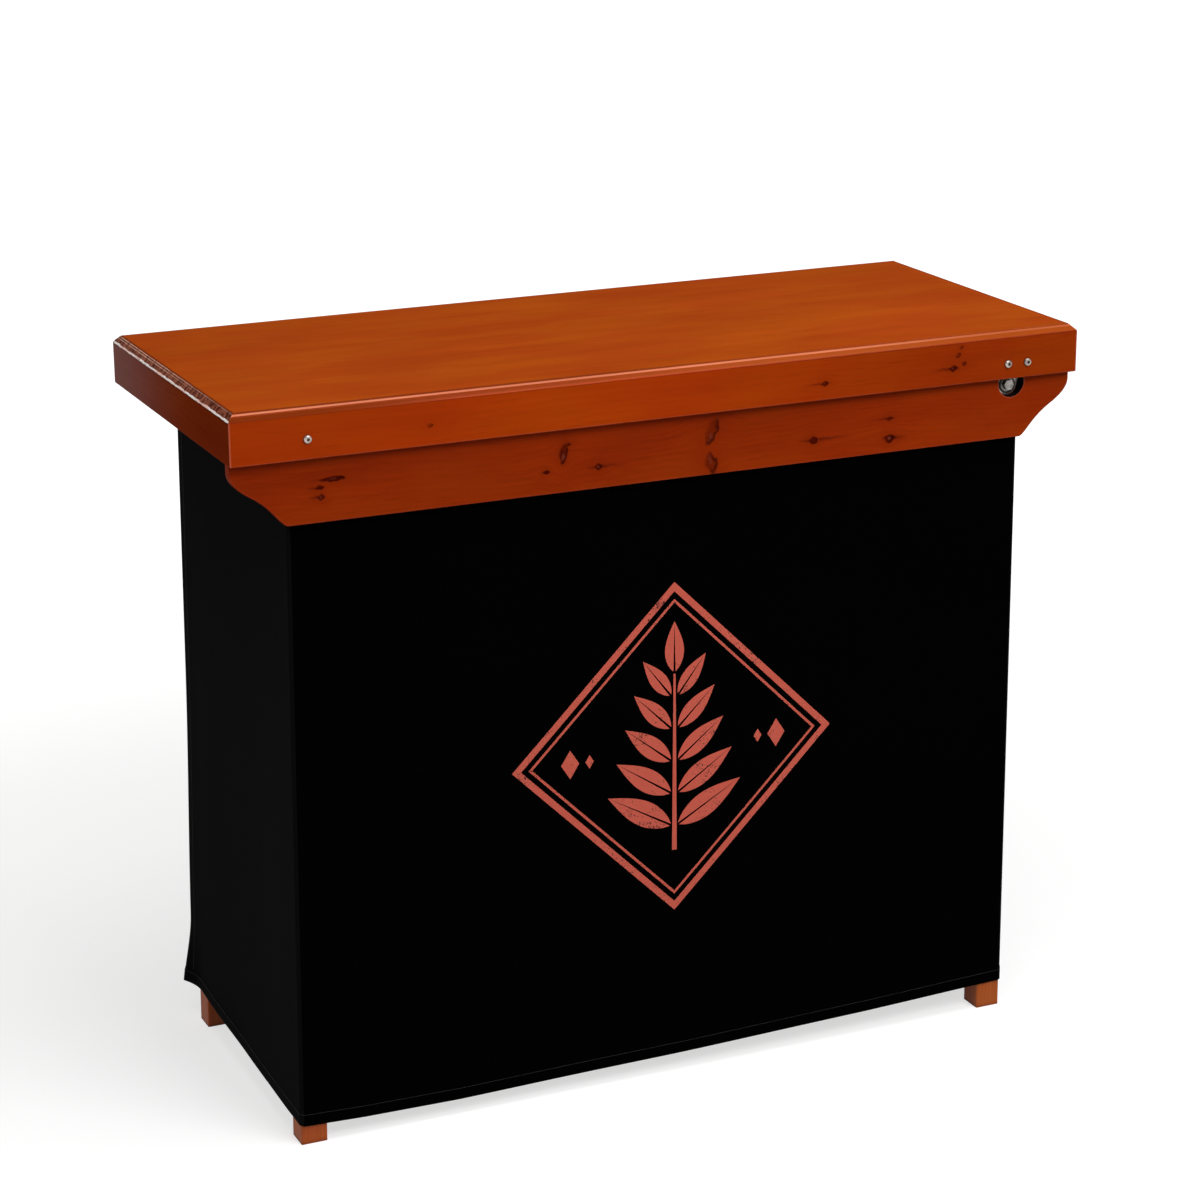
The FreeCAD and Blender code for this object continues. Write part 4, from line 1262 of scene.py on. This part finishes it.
def stitch_tree():
    """Short thread stitches spaced along every line of the input mesh."""
    inputs = {
        "Lines": "mesh", "Pitch": "value", "Stitch Length": "value", "Thread Radius": "value",
        "Thread": "material",
    }
    tree, start, finish = new_group("stitch_row", inputs, {"Stitches": "mesh"}, "GeometryNodeTree")
    curve = add(tree, "GeometryNodeMeshToCurve", {"Mesh": start["Lines"]}).outputs[0]
    pitch = {"Curve": curve, "Length": start["Pitch"]}
    evenly = add(tree, "GeometryNodeResampleCurve", pitch, mode="LENGTH").outputs[0]
    tangent = tree.nodes.new("GeometryNodeInputTangent").outputs[0]
    turn = add(tree, "FunctionNodeAlignRotationToVector", {"Vector": tangent}, axis="X").outputs[0]
    half_length = times(tree, start["Stitch Length"], 0.5)
    radius = start["Thread Radius"]
    size = add(tree, "ShaderNodeCombineXYZ", {0: half_length, 1: radius, 2: radius}).outputs[0]
    bead = add(tree, "GeometryNodeMeshUVSphere", BEAD).outputs[0]
    stitch = add(tree, "GeometryNodeTransform", {"Geometry": bead, "Scale": size}).outputs[0]
    laid = {"Points": evenly, "Instance": stitch, "Rotation": turn}
    row = add(tree, "GeometryNodeInstanceOnPoints", laid).outputs[0]
    real = add(tree, "GeometryNodeRealizeInstances", {0: row}).outputs[0]
    smooth = add(tree, "GeometryNodeSetShadeSmooth", {0: real}).outputs[0]
    done = add(tree, "GeometryNodeSetMaterial", {"Geometry": smooth, "Material": start["Thread"]})
    feed(tree, finish, {"Stitches": done.outputs[0]})
    return tree


def run_tree(name, mesh, tree, values, materials):
    """Run a geometry tree on a mesh once and keep the result as a plain mesh."""
    holder = put(name + "_lines", mesh)
    modifier = holder.modifiers.new("tree", "NODES")
    modifier.node_group = tree
    for item in tree.interface.items_tree:
        if item.in_out == "INPUT" and item.name in values:
            modifier[item.identifier] = values[item.name]
    graph = bpy.context.evaluated_depsgraph_get()
    made = bpy.data.meshes.new_from_object(holder.evaluated_get(graph), depsgraph=graph)
    made.name = name
    holder.modifiers.clear()
    bpy.data.objects.remove(holder)
    made.materials.clear()
    return add_piece(name, made, materials)


def stitch_lines():
    """Lines on the outside of the sheet: round the hem and up both back edges."""
    outside = SHEET_THICKNESS / 2 + THREAD_STANDS_SHARE * THREAD_RADIUS
    lines = [[column.point(column.hem() + STITCH_LINE, outside + HEM_STEP) for column in columns]]
    for end in (left_end, right_end):
        edge = Column("side", end.back - STITCH_LINE, end)
        heights = spread(edge.hem() + HEM_DEPTH + STITCH_END, front_top - STITCH_END, STITCH_PARTS)
        lines.append([edge.point(z, outside) for z in heights])
    mesh = bpy.data.meshes.new("stitch_lines")
    points = []
    edges = []
    for line in lines:
        first = len(points)
        points += [tuple(point) for point in line]
        edges += [(first + index, first + index + 1) for index in range(len(line) - 1)]
    mesh.from_pydata(points, edges, [])
    return mesh


stitch_sizes = {
    "Pitch": STITCH_PITCH,
    "Stitch Length": STITCH_LENGTH,
    "Thread Radius": THREAD_RADIUS,
    "Thread": thread_finish,
}
hem_stitches = run_tree("hem_stitches", stitch_lines(), stitch_tree(), stitch_sizes, [thread_finish])


# Printed ornament on the front panel: a leafy sprig in a lozenge

PRINT_MIDDLE = (0.010, 0.472)
PRINT_HALF = (0.235, 0.232)
INK_LIFT = 0.04 * MM
INK_THICKNESS = 0.1 * MM
INK_JOIN = 0.02 * MM
BORDERS = [(1.0, 0.009), (0.9, 0.0035)]
BORDER_PARTS = 30
STEM_FOOT = -0.145
STEM_STEP = 0.0125
STEM_POINTS = 21
STEM_WIDTHS = (0.007, 0.003)
LEAF_PAIRS = 5
LEAF_LOWEST = -0.108
LEAF_SPACING = 0.046
LEAF_ROOT = 0.006
LEAF_LIFT = 0.052
LEAF_RIB = 0.0016
LEAF_FULLNESS = 0.8
LEAF_PARTS = 14
TIP_LEAF = (0.108, 0.178, 0.013)

# Reach and width of the lowest leaves, and how much each pair above them loses
LEAF_REACH = (0.098, 0.013)
LEAF_WIDTH = (0.0165, 0.0014)

# The diamonds beside the sprig: how far out, half width, half height
DIAMONDS = [(0.152, 0.013, 0.02), (0.124, 0.006, 0.0095)]


def band(points_out, points_in):
    """Faces of a closed band between two loops of equal length."""
    after_out = points_out[1:] + points_out[:1]
    after_in = points_in[1:] + points_in[:1]
    return list(zip(points_out, after_out, after_in, points_in))


def lozenge(half_width, half_height):
    corners = [(half_width, 0.0), (0.0, half_height), (-half_width, 0.0), (0.0, -half_height)]
    points = []
    for (x0, z0), (x1, z1) in zip(corners, corners[1:] + corners[:1]):
        points += list(zip(spread(x0, x1, BORDER_PARTS), spread(z0, z1, BORDER_PARTS)))[:-1]
    return points


def lozenge_band(share, width):
    """A lozenge border of even width."""
    half_width, half_height = PRINT_HALF[0] * share, PRINT_HALF[1] * share
    slim = width * math.hypot(half_width, half_height)
    inner = (half_width - slim / half_height, half_height - slim / half_width)
    return band(lozenge(half_width, half_height), lozenge(*inner))


def leaf(root, tip, width):
    """A pointed leaf between two points with a bare midrib."""
    run_x, run_z = tip[0] - root[0], tip[1] - root[1]
    length = math.hypot(run_x, run_z)
    faces = []
    for side in (1, -1):
        across_x, across_z = -side * run_z / length, side * run_x / length
        previous = None
        for share in spread(0.0, 1.0, LEAF_PARTS):
            x, z = root[0] + run_x * share, root[1] + run_z * share
            rib = LEAF_RIB * (1 - share)
            edge = rib + width * math.sin(math.pi * share ** LEAF_FULLNESS)
            pair = [(x + across_x * out, z + across_z * out) for out in (rib, edge)]
            if previous:
                faces.append((previous[0], pair[0], pair[1], previous[1]))
            previous = pair
    return faces


def stem(points, start_width, end_width):
    """A tapering stalk through points."""
    faces = []
    previous = None
    widths = spread(start_width, end_width, len(points) - 1)
    for (x, z), width in zip(points, widths):
        half = width / 2
        pair = ((x - half, z), (x + half, z))
        if previous:
            faces.append((previous[0], previous[1], pair[1], pair[0]))
        previous = pair
    return faces


def diamond(x, half_width, half_height):
    return [((x + half_width, 0.0), (x, half_height), (x - half_width, 0.0), (x, -half_height))]


def ornament():
    """Every inked face, in metres from the middle of the print."""
    faces = []
    for share, width in BORDERS:
        faces += lozenge_band(share, width)
    faces += stem([(0.0, STEM_FOOT + STEM_STEP * step) for step in range(STEM_POINTS)], *STEM_WIDTHS)
    for step in range(LEAF_PAIRS):
        z = LEAF_LOWEST + LEAF_SPACING * step
        reach, width = [most - loss * step for most, loss in (LEAF_REACH, LEAF_WIDTH)]
        for side in (-1, 1):
            faces += leaf((side * LEAF_ROOT, z), (side * reach, z + LEAF_LIFT), width)
    foot, tip, width = TIP_LEAF
    faces += leaf((0.0, foot), (0.0, tip), width)
    for side in (-1, 1):
        for out, half_width, half_height in DIAMONDS:
            faces += diamond(side * out, half_width, half_height)
    return faces


def print_mesh():
    work = bmesh.new()
    lift = SHEET_THICKNESS / 2 + INK_LIFT
    for corners in ornament():
        points = []
        for across, up in corners:
            x = PRINT_MIDDLE[0] + across
            z = PRINT_MIDDLE[1] + up
            points.append(Vector((x, front_middle - lift - front_out(x, z), z)))
        work.faces.new([work.verts.new(point) for point in points])
    bmesh.ops.remove_doubles(work, verts=work.verts, dist=INK_JOIN)
    bmesh.ops.dissolve_degenerate(work, edges=work.edges, dist=INK_JOIN)
    for face in work.faces:
        if face.normal.y > 0:
            face.normal_flip()
    return finished_mesh("front_print", work)


front_print = add_piece("front_print", print_mesh(), [ink_finish])
thicken(front_print, INK_THICKNESS, 1.0)


# Studio

def studio_floor():
    """A pale floor that shows white where it is lit and keeps the shadow."""
    work = bmesh.new()
    bmesh.ops.create_circle(work, cap_ends=True, segments=FLOOR_PARTS, radius=FLOOR_RADIUS)
    material = bpy.data.materials.new("pale_floor")
    tree = empty_tree(material)
    ray = tree.nodes.new("ShaderNodeLightPath").outputs
    mirrored = calc(tree, "MAXIMUM", ray["Is Glossy Ray"], ray["Is Transmission Ray"])
    seen = calc(tree, "MAXIMUM", ray["Is Camera Ray"], mirrored)
    matt = add(tree, "ShaderNodeBsdfDiffuse", {"Color": grey(FLOOR_TONE)})
    place = object_place(tree)
    away = vector_calc(tree, "LENGTH", place).node.outputs["Value"]
    lift = mix_value(tree, step_up(tree, away, *FLOOR_WHITE_RUN), FLOOR_LIFT, 1.0)
    glow = add(tree, "ShaderNodeEmission", {"Strength": times(tree, seen, lift)})
    both = add(tree, "ShaderNodeAddShader", {0: matt.outputs[0], 1: glow.outputs[0]})
    add(tree, "ShaderNodeOutputMaterial", {"Surface": both.outputs[0]})
    floor = add_piece("floor", finished_mesh("floor", work), [material])


def studio_world():
    """Soft even light, with a white backdrop up to a little above the horizon for reflections."""
    world = bpy.data.worlds.new("studio")
    bpy.context.scene.world = world
    tree = empty_tree(world)
    ray = tree.nodes.new("ShaderNodeLightPath").outputs
    rise = split(tree, add(tree, "ShaderNodeTexCoord").outputs["Generated"])[2]
    backdrop = times(tree, ray["Is Glossy Ray"], step_up(tree, rise, *BACKDROP_RISE))
    seen = calc(tree, "MAXIMUM", ray["Is Camera Ray"], ray["Is Transmission Ray"])
    white = calc(tree, "MAXIMUM", seen, backdrop)
    soft = add(tree, "ShaderNodeBackground", {"Color": colour(*AMBIENT_TINT), "Strength": AMBIENT})
    paper = add(tree, "ShaderNodeBackground", {"Color": grey(1.0), "Strength": 1.0})
    both = add(tree, "ShaderNodeMixShader", {0: white, 1: soft.outputs[0], 2: paper.outputs[0]})
    add(tree, "ShaderNodeOutputWorld", {"Surface": both.outputs[0]})


def softbox(name, place, target, width, height, watts):
    light = bpy.data.lights.new(name, "AREA")
    light.shape = "RECTANGLE"
    light.size = width
    light.size_y = height
    light.energy = watts
    lamp = put(name, light)
    lamp.location = place
    lamp.rotation_euler = (Vector(place) - Vector(target)).to_track_quat("Z", "Y").to_euler()


def photo_camera():
    """The camera that took the picture, from its fitted place and lens."""
    azimuth = math.radians(VIEW_AZIMUTH)
    elevation = math.radians(VIEW_ELEVATION)
    roll = math.radians(VIEW_ROLL)
    level = math.cos(elevation)
    back = Vector((math.sin(azimuth) * level, -math.cos(azimuth) * level, math.sin(elevation)))
    right = Vector((0, 0, 1)).cross(back).normalized()
    up = back.cross(right)
    turned_right = right * math.cos(roll) + up * math.sin(roll)
    turned_up = up * math.cos(roll) - right * math.sin(roll)
    place = Matrix((turned_right, turned_up, back)).transposed().to_4x4()
    place.translation = VIEW_TARGET + back * VIEW_DISTANCE
    lens = bpy.data.cameras.new("photo_camera")
    lens.sensor_width = SENSOR_MM
    lens.lens = FOCAL_PIXELS * SENSOR_MM / PICTURE_SIDE
    lens.shift_x = 0.5 - MIDDLE_PIXELS[0] / PICTURE_SIDE
    lens.shift_y = MIDDLE_PIXELS[1] / PICTURE_SIDE - 0.5
    camera = put("photo_camera", lens)
    camera.matrix_world = place
    bpy.context.scene.camera = camera


studio_floor()
studio_world()
for row in SOFTBOXES:
    softbox(*row)
photo_camera()
bpy.context.scene.view_settings.view_transform = "Standard"

# The body that each new piece moves with
for piece in (cloth_skirt, hem_fold, hem_stitches, front_print):
    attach(piece, "counter")
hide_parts("front_cloth", "left_cloth", "right_cloth")
